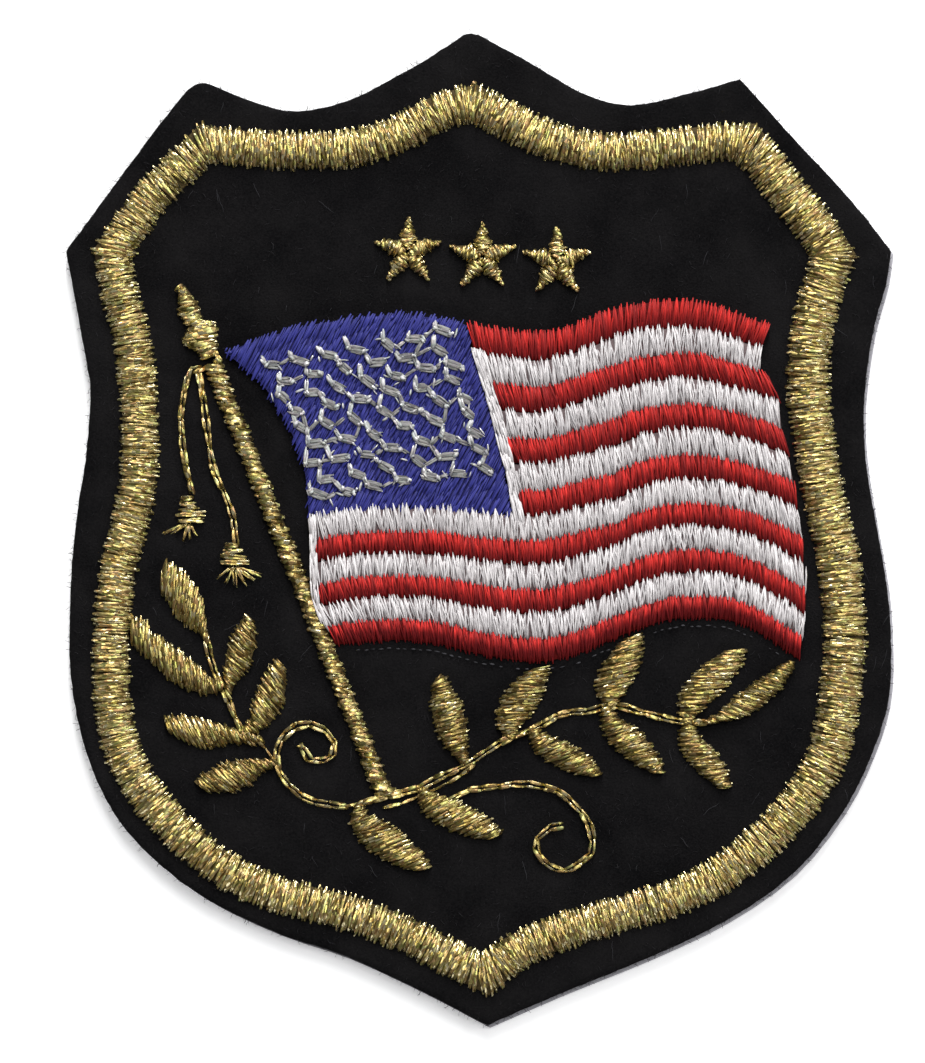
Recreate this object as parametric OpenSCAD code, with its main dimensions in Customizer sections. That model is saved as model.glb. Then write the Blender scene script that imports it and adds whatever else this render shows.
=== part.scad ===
// Embroidered shield patch. A black felt shield on a backing film carries a metallic satin border,
// a waving striped flag on its pole with two tasselled cords, three small stars and two leaf sprays.
// It lies flat and face up, its top peak toward +Y, with the origin under the middle of its box.

/* [Patch] */
// Height of the patch, from its bottom point to its top peak
patch_h = 76.2; // [60:0.1:100]
// Thickness of the felt ground
felt_t = 1.2; // [1:0.1:3]
// Thickness of the fused backing film
film_t = 0.3; // [0.2:0.05:0.6]
// How far the film peeps out past the felt, to the right and below
film_slip = 0.25; // [0:0.05:0.6]

/* [Border] */
// Width of the satin border
border_w = 3.1; // [2:0.1:3.6]
// Height of the border's crown above the felt
border_rise = 0.9; // [0.4:0.05:1.4]

/* [Flag] */
// Height of a stripe's crown above the felt
stripe_rise = 0.7; // [0.3:0.05:1.2]
// Share of a red and white pair that is white
white_share = 0.53; // [0.45:0.01:0.6]
// Gap between neighbouring stripes
stripe_gap = 0.08; // [0.05:0.01:0.2]
// How far the red stripes start behind the white ones
red_inset = 0.45; // [0:0.05:0.8]
// Height of the canton's fill stitches above the felt
canton_rise = 0.5; // [0.3:0.05:1]
// Height of the star stitches above the canton
star_rise = 0.25; // [0.15:0.05:0.5]

/* [Pole and cords] */
// Width of the flagpole
pole_w = 1.3; // [0.9:0.1:1.6]
// Height of the pole's crown above the felt
pole_rise = 0.7; // [0.4:0.05:1.2]
// Width of a cord, a stem or a scroll
line_w = 0.52; // [0.35:0.01:0.58]
// Height of a cord, a stem or a scroll above the felt
line_rise = 0.35; // [0.2:0.05:0.6]
// Height of a tassel above the felt
tassel_rise = 0.45; // [0.3:0.05:0.8]

/* [Leaves and top stars] */
// Height of a leaf's crown above the felt
leaf_rise = 0.8; // [0.4:0.05:1.2]
// Radius of a top star, to its points
top_star_r = 2.75; // [2:0.05:2.8]
// Height of a top star's middle above the felt
top_star_rise = 0.8; // [0.4:0.05:1.2]

/* [Hidden] */
RED_COUNT = 7;
WHITE_COUNT = 6;
LEFT_LEAF_COUNT = 6;
RIGHT_LEAF_COUNT = 10;
TOP_STAR_COUNT = 3;

function numbered(name, count) = [for (i = [1 : count]) str(name, i)];

felt_color = "#1c1a1c";
film_color = "#c9c4d2";
gold_color = "#b4965a";
silver_color = "#a8a8a2";
red_color = "#b41a1c";
white_color = "#d8d6da";
blue_color = "#30308a";

drawn_h = 76.2; // the tables below are in mm, on a patch of this height
unit = patch_h / drawn_h;
felt_z = film_t + felt_t; // the felt's top face, which every stitched piece lies on
canton_z = felt_z + canton_rise;

// Edge of the felt, clockwise from the top peak: x, y, and sharp where it turns a corner
CORNER = 2;
sharp = true;
FELT_EDGE = [
    [-0.6, 38.1], [1.5, 37.2], [4.9, 35.3], [8.0, 33.5], [11.5, 32.6],
    [15.5, 33.3], [20.1, 34.6, sharp], [24.4, 29.8], [28.7, 25.2], [31.7, 21.4, sharp],
    [31.3, 18.8], [30.3, 15.1], [29.6, 9.9], [29.7, 5.7], [30.4, 1.1],
    [31.4, -4.6], [31.7, -9.2], [31.5, -13.1], [30.3, -17.1], [28.0, -21.7],
    [24.2, -26.4], [19.1, -30.0], [13.3, -32.8], [6.4, -35.6], [0.65, -38.1, sharp],
    [-4.1, -35.6], [-10.1, -32.8], [-15.4, -31.0], [-21.2, -28.2], [-25.8, -24.5],
    [-28.6, -20.8], [-30.4, -16.2], [-31.3, -11.2], [-31.4, -7.3], [-31.2, -2.4],
    [-30.7, 2.2], [-30.1, 5.9], [-29.8, 10.5], [-30.3, 13.8], [-30.9, 17.2],
    [-31.7, 21.4, sharp], [-28.2, 26.1], [-24.8, 30.7], [-22.4, 33.7, sharp], [-21.1, 34.3],
    [-19.0, 33.5], [-15.5, 32.3], [-13.2, 32.2], [-9.8, 33.0], [-6.3, 34.8],
    [-4.0, 36.1], [-2.3, 37.2]
];
felt_steps = 3; // points on each span of the felt's edge

// Middle line of the satin border, clockwise from its top peak: x, y, and sharp at a corner
BORDER_LINE = [
    [-0.3, 33.0, sharp], [2.8, 31.3], [5.9, 29.9], [9.7, 29.2], [13.5, 29.4],
    [17.4, 29.9], [20.7, 30.0, sharp], [23.5, 26.3], [25.9, 23.4], [27.4, 21.0, sharp],
    [26.1, 17.6], [25.4, 13.8], [25.4, 9.9], [26.0, 6.1], [26.6, 2.3],
    [27.6, -1.6], [28.0, -5.4], [28.2, -9.2], [27.7, -13.1], [27.0, -16.9],
    [24.7, -20.8], [21.2, -24.4], [17.4, -27.1], [13.5, -28.6], [9.7, -29.7],
    [5.9, -30.9], [2.8, -32.3], [0.6, -34.1, sharp], [-2.6, -32.5], [-5.6, -30.9],
    [-9.5, -29.4], [-13.3, -28.4], [-17.2, -27.2], [-21.0, -24.9], [-25.1, -20.8],
    [-27.4, -16.9], [-28.1, -13.1], [-28.2, -9.2], [-28.0, -5.4], [-27.4, -1.6],
    [-26.3, 2.3], [-26.0, 6.1], [-26.1, 9.9], [-26.4, 13.8], [-27.4, 17.6],
    [-28.2, 21.2, sharp], [-25.4, 25.3], [-23.3, 27.5], [-21.0, 29.9, sharp], [-17.2, 29.4],
    [-13.3, 29.3], [-9.5, 29.5], [-5.6, 30.8], [-3.0, 32.3]
];
border_steps = 2; // points on each span of the border

// The flag's wave, from hoist to fly: x, then y at the top edge, under the canton, at the bottom
TOP = 1;
SEAM = 2;
BOTTOM = 3;
WAVE = [
    [-19.5, 13.7, 1.1, -10.3], [-16.4, 14.8, 1.1, -10.0], [-12.9, 15.8, 1.1, -9.6],
    [-9.9, 16.2, 1.6, -8.7], [-6.4, 16.6, 1.7, -8.4], [-3.0, 16.3, 1.7, -8.7],
    [-0.3, 15.7, 1.4, -9.4], [3.2, 15.1, 1.2, -10.0], [5.5, 15.1, 1.3, -10.0],
    [7.8, 15.8, 1.9, -9.4], [10.1, 16.8, 2.3, -8.4], [12.4, 17.3, 3.4, -7.5],
    [14.7, 17.5, 3.9, -6.8], [17.0, 17.4, 4.0, -6.7], [19.3, 16.7, 3.6, -6.9],
    [21.6, 15.9, 3.0, -7.8], [25.0, 14.8, 1.5, -10.2]
];

// Seams between the 13 stripes, counted from the top edge: number 7 runs on under the canton
SEAM_UNDER_CANTON = 7;
LAST_SEAM = RED_COUNT + WHITE_COUNT;
// x where each seam meets the canton's edge, for seams 0 to 7
CANTON_END = [-0.9, -0.5, 0.2, 0.8, 1.4, 1.9, 2.3, 2.6];
// x where each seam meets the hoist, for seams 7 to 13
HOIST_END = [-13.1, -12.8, -12.6, -12.4, -12.0, -11.3, -10.8];
// x where each seam meets the fly, for seams 0 to 13
FLY_END = [22.9, 22.3, 22.2, 23.0, 23.2, 23.7, 24.1, 24.4, 24.7, 24.9, 25.0, 25.0, 24.8, 24.6];
stripe_spans_short = 18; // spans along a stripe beside the canton
stripe_spans_long = 26; // spans along a stripe below it

// Hoist edge of the canton, from its bottom corner to its top corner: x, y, and sharp at its ends
CANTON_HOIST = [
    [-13.1, 1.5, sharp], [-13.3, 3.9], [-13.7, 5.6], [-14.5, 7.6], [-15.6, 9.6],
    [-16.7, 11.2], [-18.1, 12.5], [-19.5, 13.6, sharp]
];
canton_spans = 10; // spans along the canton's top and bottom edges

// Rows of star stitches on the canton, from the top: first star, last star, how many
FIRST = 0;
LAST = 1;
HOW_MANY = 2;
STAR_ROWS = [
    [[-15.9, 12.6], [-2.6, 15.1], 7], [[-14.9, 11.5], [-3.0, 13.8], 6], [[-15.0, 10.2], [-1.9, 12.7], 7],
    [[-13.8, 9.1], [-1.9, 11.4], 6], [[-13.6, 7.7], [-1.0, 10.1], 7], [[-12.5, 6.5], [-0.9, 8.8], 6],
    [[-12.7, 5.1], [-0.2, 7.4], 7], [[-11.7, 3.9], [-0.1, 6.1], 6], [[-12.2, 2.6], [0.5, 4.8], 7]
];
star_dash = [1.1, 0.46]; // length and width of a star's flat stitch
star_tick = [0.9, 0.36]; // and of the stitch that crosses it
star_tilt = -14; // turn of the flat stitches
star_cross = 68; // angle of the crossing stitch to them
star_taper = 0.8; // share of a stitch's half length at which it starts to narrow

// Middle lines of the pole and the finial, from the top: x, y, and the finial's width there
WIDTH = 2;
POLE_LINE = [[-20.4, 12.7], [-7.5, -19.6]];
FINIAL_LINE = [
    [-22.9, 18.9, 0.4], [-22.6, 18.0, 1.1], [-22.1, 16.7, 1.7], [-21.7, 15.8, 1.2],
    [-21.5, 15.4, 2.8], [-21.1, 14.4, 2.7], [-20.9, 13.9, 1.5], [-20.6, 13.1, 1.3]
];

// Routes of the cords, stems and scrolls: x, y
CORD_LEFT = [
    [-22.2, 13.3], [-22.3, 11.8], [-22.6, 10.3], [-22.8, 8.8], [-22.8, 6.9],
    [-22.4, 4.7], [-22.0, 3.2], [-21.9, 2.7]
];
CORD_RIGHT = [
    [-21.5, 12.6], [-21.3, 11.2], [-21.0, 9.2], [-20.6, 6.1], [-20.3, 4.3],
    [-19.6, 3.0], [-19.1, 1.6], [-18.7, 0.2], [-18.7, -0.4]
];
STEM_LEFT = [[-20.8, -8.5], [-20.4, -10.4], [-19.4, -12.5], [-18.3, -15.2], [-17.2, -16.6]];
STEM_RIGHT = [
    [-9.2, -21.0], [-7.6, -20.6], [-5.9, -20.3], [-4.6, -19.8], [-2.6, -18.8],
    [-0.3, -17.7], [1.6, -16.3], [4.0, -15.4], [6.3, -14.2], [8.6, -13.9],
    [10.5, -13.5], [13.2, -14.2], [16.2, -14.8], [17.5, -14.8]
];
SCROLL_LEFT = [
    [-13.5, -16.7], [-12.9, -17.7], [-11.8, -17.8], [-11.0, -17.1], [-11.2, -15.8],
    [-12.2, -15.1], [-13.3, -14.9], [-14.5, -15.4], [-15.4, -16.7], [-15.5, -17.9],
    [-15.1, -18.9], [-14.2, -20.0], [-12.9, -20.8], [-11.7, -21.1], [-10.1, -21.2]
];
SCROLL_RIGHT = [
    [-0.9, -19.9], [1.6, -19.7], [3.6, -19.5], [5.9, -20.0], [7.3, -21.0],
    [8.3, -22.2], [8.8, -23.6], [8.7, -24.8], [7.7, -25.7], [6.5, -26.2],
    [5.3, -25.8], [4.5, -24.8], [4.4, -23.8], [5.3, -22.9], [6.6, -22.7]
];
line_steps = 2; // points on each span of a line

// Leaves: tip, base, width, and how far the middle bows to the left on the way from base to tip
TIP = 0;
BASE = 1;
LEAF_W = 2;
BOW = 3;
LEFT_LEAVES = [
    [[-23.9, -2.4], [-21.1, -7.7], 2.6, 0.2], [[-26.0, -7.5], [-20.0, -12.5], 2.3, 0.5],
    [[-17.6, -6.4], [-19.0, -11.7], 2.2, -0.1], [[-24.3, -14.5], [-18.9, -16.1], 2.3, 0.2],
    [[-15.3, -9.8], [-17.2, -15.5], 2.3, -0.3], [[-21.9, -19.5], [-16.5, -18.1], 2.4, 0.2]
];
RIGHT_LEAVES = [
    [[-3.0, -11.0], [-1.3, -17.4], 2.6, 0.2], [[5.3, -10.4], [1.6, -15.6], 2.7, 0.1],
    [[12.3, -7.9], [9.2, -13.1], 2.7, -0.2], [[20.5, -9.0], [15.3, -13.7], 2.6, -0.1],
    [[24.3, -9.9], [18.2, -14.5], 1.9, -0.5], [[9.5, -18.9], [4.0, -16.2], 2.1, 0.1],
    [[14.1, -18.8], [9.4, -14.6], 2.3, 0.2], [[19.3, -20.0], [15.4, -15.6], 2.2, 0.1],
    [[1.9, -23.4], [-4.6, -20.7], 2.4, -0.1], [[-3.6, -26.0], [-9.9, -21.9], 2.6, -0.2]
];
leaf_spans = 9; // spans along a leaf
leaf_end = 0.14; // share of a leaf's width that is left at its two ends
leaf_skew = 0.85; // below 1, a leaf is widest nearer its base
leaf_fullness = 0.62; // below 1, its sides are fuller than a sine arch
leaf_low = 0.5; // its height at the ends as a share of its rise

// Tassels: head x and y, then the ends of the fringe's strips
TASSEL_LEFT = [[-22.2, 1.9], [-24.3, -0.3], [-23.6, -0.7], [-22.8, -0.8], [-22.0, -0.7], [-21.3, -0.4]];
TASSEL_RIGHT = [[-18.7, -1.2], [-20.1, -3.6], [-19.3, -4.1], [-18.5, -4.3], [-17.6, -4.1], [-16.7, -3.5]];
tassel_head_r = 0.55;
tassel_strip_w = 0.5; // width of a strip at its end
tassel_notch = 0.5; // how far down from the head the strips part

// Middles of the top stars: x, y
TOP_STARS = [[-5.4, 21.3], [0.3, 20.9], [6.0, 20.5]];
star_corners = 10; // points and notches of a five-pointed star
top_star_waist = 0.45; // inner radius as a share of the outer one
top_star_wall = 0.4; // height of its edge as a share of its rise

// Section of a satin column: share of the way across, share of its rise
SATIN_SECTION = [[0, 0], [0, 0.4], [0.2, 0.86], [0.5, 1], [0.8, 0.86], [1, 0.4], [1, 0]];

// Splines through the tables' knots
function mix(a, b, t) = a + (b - a) * t;
function left_of(v) = [-v.y, v.x] / norm(v);
function held(i, n, closed) = closed ? (i + n) % n : max(0, min(n - 1, i));
function knot(k, i, closed) = let (row = k[held(i, len(k), closed)]) [row.x, row.y] * unit;
function turns(k, i, closed) = k[held(i, len(k), closed)][CORNER] == sharp;
function slope(k, i, ahead, closed) =
    !turns(k, i, closed) ? (knot(k, i + 1, closed) - knot(k, i - 1, closed)) / 2
    : ahead ? knot(k, i + 1, closed) - knot(k, i, closed)
    : knot(k, i, closed) - knot(k, i - 1, closed);
function hermite(p, q, m, n, t) =
    (2 * t ^ 3 - 3 * t ^ 2 + 1) * p + (t ^ 3 - 2 * t ^ 2 + t) * m
    + (3 * t ^ 2 - 2 * t ^ 3) * q + (t ^ 3 - t ^ 2) * n;
function on_span(k, i, t, closed) = hermite(
    knot(k, i, closed), knot(k, i + 1, closed),
    slope(k, i, true, closed), slope(k, i + 1, false, closed), t);
function spline(k, steps, closed = false) = concat(
    [for (i = [0 : len(k) - (closed ? 1 : 2)]) for (s = [0 : steps - 1]) on_span(k, i, s / steps, closed)],
    closed ? [] : [knot(k, len(k) - 1, closed)]);

// Two rails on either side of a middle line, mitred where it turns
function across(p, i, closed) = let (
        n = len(p),
        before = p[i] - p[held(i - 1, n, closed)],
        after = p[held(i + 1, n, closed)] - p[i],
        a = left_of(norm(before) > 0 ? before : after),
        b = left_of(norm(after) > 0 ? after : before))
    (a + b) / (1 + a * b);
function width_at(w, i) = is_list(w) ? w[i] : w;
function rails(p, w, closed = false) = [
    for (i = [0 : len(p) - 1])
    let (side = across(p, i, closed) * width_at(w, i) * unit / 2)
    [p[i] + side, p[i] - side]
];

// Low dome of satin stitches between pairs of left and right rail points
function satin_ring(pair, rise) = [
    for (s = SATIN_SECTION)
    let (p = mix(pair[0], pair[1], s.x))
    [p.x, p.y, s.y * rise]
];
function quad(a, b, c, d) = [[a, b, c], [a, c, d]];
module satin(pairs, rise, closed = false) {
    n = len(pairs);
    m = len(SATIN_SECTION);
    verts = [for (i = [0 : n - 1]) each satin_ring(pairs[i], width_at(rise, i))];
    walls = [
        for (i = [0 : n - (closed ? 1 : 2)]) for (j = [0 : m - 1])
        let (here = i * m, next = (i + 1) % n * m, k = (j + 1) % m)
        each quad(here + j, next + j, next + k, here + k)
    ];
    first_cap = [for (j = [0 : m - 1]) j];
    last_cap = [for (j = [m - 1 : -1 : 0]) (n - 1) * m + j];
    translate([0, 0, felt_z])
        polyhedron(verts, closed ? walls : concat(walls, [first_cap, last_cap]), convexity = 6);
}

module stitched_line(route) satin(rails(spline(route, line_steps), line_w), line_rise);

// The flag's seams
function wave_tangent(i, column) =
    let (a = WAVE[max(0, i - 1)], b = WAVE[min(len(WAVE) - 1, i + 1)]) (b[column] - a[column]) / (b.x - a.x);
function wave_span(x, i = 0) = i >= len(WAVE) - 2 || x < WAVE[i + 1].x ? i : wave_span(x, i + 1);
function wave(x, column) = let (
        i = wave_span(x),
        a = WAVE[i],
        b = WAVE[i + 1],
        run = b.x - a.x)
    hermite(
        a[column], b[column],
        wave_tangent(i, column) * run, wave_tangent(i + 1, column) * run,
        (x - a.x) / run);
// Distance down from the top edge, in pairs of stripes, at which seam k of a group lies
function pairs_down(k, first_share) = floor(k / 2) + (k % 2) * first_share;
function share_down(k, last, first_share) = pairs_down(k, first_share) / pairs_down(last, first_share);
function seam_y(k, x) = k <= SEAM_UNDER_CANTON
    ? mix(wave(x, TOP), wave(x, SEAM), share_down(k, SEAM_UNDER_CANTON, 1 - white_share))
    : mix(wave(x, SEAM), wave(x, BOTTOM),
        share_down(k - SEAM_UNDER_CANTON, LAST_SEAM - SEAM_UNDER_CANTON, white_share));
function seam_start(k, below) = below ? HOIST_END[k - SEAM_UNDER_CANTON] : CANTON_END[k];
function stripe_pairs(k, inset) = let (
        below = k >= SEAM_UNDER_CANTON,
        spans = below ? stripe_spans_long : stripe_spans_short)
    [for (i = [0 : spans]) [for (side = [0, 1]) let (
            start = seam_start(k + side, below) + stripe_gap + inset,
            x = mix(start, FLY_END[k + side], i / spans))
        [x, seam_y(k + side, x) + (side - 0.5) * stripe_gap] * unit]];

module stripe(k, inset) satin(stripe_pairs(k, inset), stripe_rise);
module red_stripe(i) color(red_color) stripe(2 * i - 2, i == 1 ? 0 : red_inset);
module white_stripe(i) color(white_color) stripe(2 * i - 1, 0);

module felt_outline() polygon(spline(FELT_EDGE, felt_steps, true));

module backing_film() color(film_color)
    translate([film_slip, -film_slip, 0]) linear_extrude(film_t) felt_outline();

module felt_ground() color(felt_color)
    translate([0, 0, film_t]) linear_extrude(felt_t) felt_outline();

module border() color(gold_color)
    satin(rails(spline(BORDER_LINE, border_steps, true), border_w, true), border_rise, true);

module flagpole() color(gold_color)
    satin(rails(spline(POLE_LINE, line_steps), pole_w), pole_rise);

module pole_finial() color(gold_color) satin(
    rails([for (row = FINIAL_LINE) [row.x, row.y] * unit], [for (row = FINIAL_LINE) row[WIDTH]]),
    pole_rise);

module cord_left() color(gold_color) stitched_line(CORD_LEFT);
module cord_right() color(gold_color) stitched_line(CORD_RIGHT);
module stem_left() color(gold_color) stitched_line(STEM_LEFT);
module stem_right() color(gold_color) stitched_line(STEM_RIGHT);
module scroll_left() color(gold_color) stitched_line(SCROLL_LEFT);
module scroll_right() color(gold_color) stitched_line(SCROLL_RIGHT);

// Fringe as one outline: both corners of each strip's end, and the notch before the next strip
function strip_end(head, tip) =
    let (side = left_of(tip - head) * tassel_strip_w / 2) [tip - side, tip + side];
module tassel(table) {
    head = table[0];
    last = len(table) - 1;
    fringe = [for (i = [1 : last]) each concat(
        strip_end(head, table[i]),
        i < last ? [mix(head, (table[i] + table[i + 1]) / 2, tassel_notch)] : [])];
    translate([0, 0, felt_z]) linear_extrude(tassel_rise) {
        translate(head * unit) circle(tassel_head_r * unit, $fn = 24);
        polygon(concat([head], fringe) * unit);
    }
}
module tassel_left() color(gold_color) tassel(TASSEL_LEFT);
module tassel_right() color(gold_color) tassel(TASSEL_RIGHT);

module canton() color(blue_color) {
    top_edge = [
        for (i = [0 : canton_spans])
        let (x = mix(WAVE[0].x, CANTON_END[0], i / canton_spans))
        [x, wave(x, TOP)]
    ];
    fly_edge = [
        for (k = [1 : SEAM_UNDER_CANTON])
        let (x = CANTON_END[k])
        [x, seam_y(k, x) + stripe_gap / 2]
    ];
    bottom_edge = [
        for (i = [1 : canton_spans])
        let (x = mix(CANTON_END[SEAM_UNDER_CANTON], HOIST_END[0], i / canton_spans))
        [x, wave(x, SEAM) + stripe_gap / 2]
    ];
    hoist_edge = [for (p = spline(CANTON_HOIST, line_steps)) p / unit];
    translate([0, 0, felt_z]) linear_extrude(canton_rise)
        polygon(concat(top_edge, fly_edge, bottom_edge, hoist_edge) * unit);
}

module dash(size, turn) rotate(turn) {
    half = size / 2 * unit;
    taper = half.x * star_taper;
    polygon([
        [-half.x, 0], [-taper, half.y], [taper, half.y],
        [half.x, 0], [taper, -half.y], [-taper, -half.y]
    ]);
}

module star_stitches() color(silver_color)
    for (row = STAR_ROWS) for (i = [0 : row[HOW_MANY] - 1]) {
        at = mix(row[FIRST], row[LAST], i / (row[HOW_MANY] - 1)) * unit;
        translate([at.x, at.y, canton_z]) linear_extrude(star_rise) {
            dash(star_dash, star_tilt);
            dash(star_tick, star_tilt + star_cross);
        }
    }

function leaf_shape(s) = max(leaf_end, sin(180 * s ^ leaf_skew) ^ leaf_fullness);
module leaf(row) color(gold_color) {
    tip = row[TIP] * unit;
    base = row[BASE] * unit;
    bow = left_of(tip - base) * row[BOW] * unit;
    shares = [for (i = [0 : leaf_spans]) i / leaf_spans];
    spine = [for (s = shares) mix(base, tip, s) + bow * 4 * s * (1 - s)];
    satin(
        rails(spine, [for (s = shares) row[LEAF_W] * leaf_shape(s)]),
        [for (s = shares) leaf_rise * mix(leaf_low, 1, leaf_shape(s))]);
}

module top_star(i) color(gold_color) {
    rim = [
        for (a = [0 : star_corners - 1])
        let (turn = 90 + a * 360 / star_corners)
        top_star_r * unit * (a % 2 == 0 ? 1 : top_star_waist) * [cos(turn), sin(turn)]
    ];
    wall = top_star_rise * top_star_wall;
    floor_ring = [for (p = rim) [p.x, p.y, 0]];
    wall_ring = [for (p = rim) [p.x, p.y, wall]];
    foot = 2 * star_corners;
    peak = foot + 1;
    faces = [
        for (a = [0 : star_corners - 1])
        let (b = (a + 1) % star_corners)
        each concat(
            quad(b, a, a + star_corners, b + star_corners),
            [[a, b, foot], [a + star_corners, peak, b + star_corners]])
    ];
    translate(concat(TOP_STARS[i - 1] * unit, felt_z))
        polyhedron(concat(floor_ring, wall_ring, [[0, 0, 0], [0, 0, top_star_rise]]), faces);
}

backing_film();
felt_ground();
border();
flagpole();
pole_finial();
cord_left();
cord_right();
tassel_left();
tassel_right();
canton();
star_stitches();
stem_left();
stem_right();
scroll_left();
scroll_right();
for (i = [1 : RED_COUNT]) red_stripe(i);
for (i = [1 : WHITE_COUNT]) white_stripe(i);
for (i = [1 : LEFT_LEAF_COUNT])
    leaf(LEFT_LEAVES[i - 1]);
for (i = [1 : RIGHT_LEAF_COUNT])
    leaf(RIGHT_LEAVES[i - 1]);
for (i = [1 : TOP_STAR_COUNT]) top_star(i);
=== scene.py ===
import math

import bmesh
import bpy
import numpy as np
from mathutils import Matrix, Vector, geometry, kdtree, noise


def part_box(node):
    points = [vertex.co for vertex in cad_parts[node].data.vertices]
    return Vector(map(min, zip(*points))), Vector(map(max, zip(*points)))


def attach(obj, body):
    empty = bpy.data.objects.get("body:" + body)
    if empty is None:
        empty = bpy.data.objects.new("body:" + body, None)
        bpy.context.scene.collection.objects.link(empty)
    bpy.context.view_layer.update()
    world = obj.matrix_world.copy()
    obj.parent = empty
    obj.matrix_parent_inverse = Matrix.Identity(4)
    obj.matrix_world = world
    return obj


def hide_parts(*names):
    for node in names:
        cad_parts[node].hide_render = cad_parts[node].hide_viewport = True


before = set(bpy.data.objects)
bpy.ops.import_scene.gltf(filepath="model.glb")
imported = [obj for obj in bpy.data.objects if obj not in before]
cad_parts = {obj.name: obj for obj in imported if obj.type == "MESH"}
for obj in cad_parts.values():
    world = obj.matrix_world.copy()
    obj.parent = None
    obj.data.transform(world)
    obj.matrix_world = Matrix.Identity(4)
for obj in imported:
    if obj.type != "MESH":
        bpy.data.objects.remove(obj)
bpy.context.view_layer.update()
mm = 0.001
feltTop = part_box("felt_ground")[1].z


# Node trees

def socketNamed(sockets, key):
    if isinstance(key, int):
        return sockets[key]
    return next(s for s in sockets if s.name == key and s.enabled)


def place(tree, kind, inputs=None, **settings):
    made = tree.nodes.new(kind)
    for name, value in settings.items():
        setattr(made, name, value)
    for key, value in (inputs or {}).items():
        socket = socketNamed(made.inputs, key)
        if isinstance(value, bpy.types.NodeSocket):
            tree.links.new(value, socket)
        else:
            socket.default_value = value
    return made


def first(tree, kind, inputs=None, **settings):
    return next(s for s in place(tree, kind, inputs, **settings).outputs if s.enabled)


def calc(tree, operation, *values):
    return first(tree, "ShaderNodeMath", dict(enumerate(values)), operation=operation)


def arrow(tree, operation, *values):
    return first(tree, "ShaderNodeVectorMath", dict(enumerate(values)), operation=operation)


def scaled(tree, vector, factor):
    return first(tree, "ShaderNodeVectorMath", {0: vector, "Scale": factor}, operation="SCALE")


def newTree(name, kind, inputs, outputs):
    tree = bpy.data.node_groups.new(name, kind)
    for label, (socketType, value) in inputs.items():
        socket = tree.interface.new_socket(label, in_out="INPUT", socket_type="NodeSocket" + socketType)
        if value is not None:
            socket.default_value = value
    for label, socketType in outputs.items():
        tree.interface.new_socket(label, in_out="OUTPUT", socket_type="NodeSocket" + socketType)
    given = tree.nodes.new("NodeGroupInput").outputs
    result = tree.nodes.new("NodeGroupOutput").inputs
    return tree, given, result


def attribute(tree, name, kind="FLOAT"):
    return first(tree, "GeometryNodeInputNamedAttribute", {"Name": name}, data_type=kind)


def store(tree, shape, name, value, domain="POINT", kind="FLOAT"):
    values = {"Geometry": shape, "Name": name, "Value": value}
    return first(tree, "GeometryNodeStoreNamedAttribute", values, data_type=kind, domain=domain)


def product(tree, value, *factors):
    for factor in factors:
        value = calc(tree, "MULTIPLY", value, factor)
    return value


def randomFloat(tree, low, high, seed):
    values = {"Min": low, "Max": high, "Seed": seed}
    return first(tree, "FunctionNodeRandomValue", values, data_type="FLOAT")


# Thread geometry. A stitch is a two-point line between its needle holes. The strand tree turns each such
# line into a thread that rises over the padding. The satin and row trees lay out the holes along guide
# lines, and the loose tree takes its stitches as they are.

strandInputs = {
    "Points": ("Int", 8), "Sides": ("Int", 5), "Width": ("Float", 0.28 * mm), "Flatness": ("Float", 0.6),
    "Dome": ("Float", 0.5), "Height Spread": ("Float", 0.1), "Wobble": ("Float", 0.05 * mm),
    "Tilt Spread": ("Float", 0.5), "End Width": ("Float", 0.6), "Seed": ("Int", 1),
    "Thread": ("Material", None),
}
threadLook = {
    "widthSpread": 0.34,
    "wobbleScale": 900.0,  # of the noise that bends a strand, per metre
    "taper": 0.4,  # power of the arch by which a strand narrows to its ends
    # factors that draw further random values from a strand's own
    "placeDraw": 50.0, "widthDraw": 37.0, "leanDraw": 91.0,
}


def drawn(tree, strand, factor):
    return calc(tree, "FRACT", calc(tree, "MULTIPLY", strand, factor))


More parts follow.
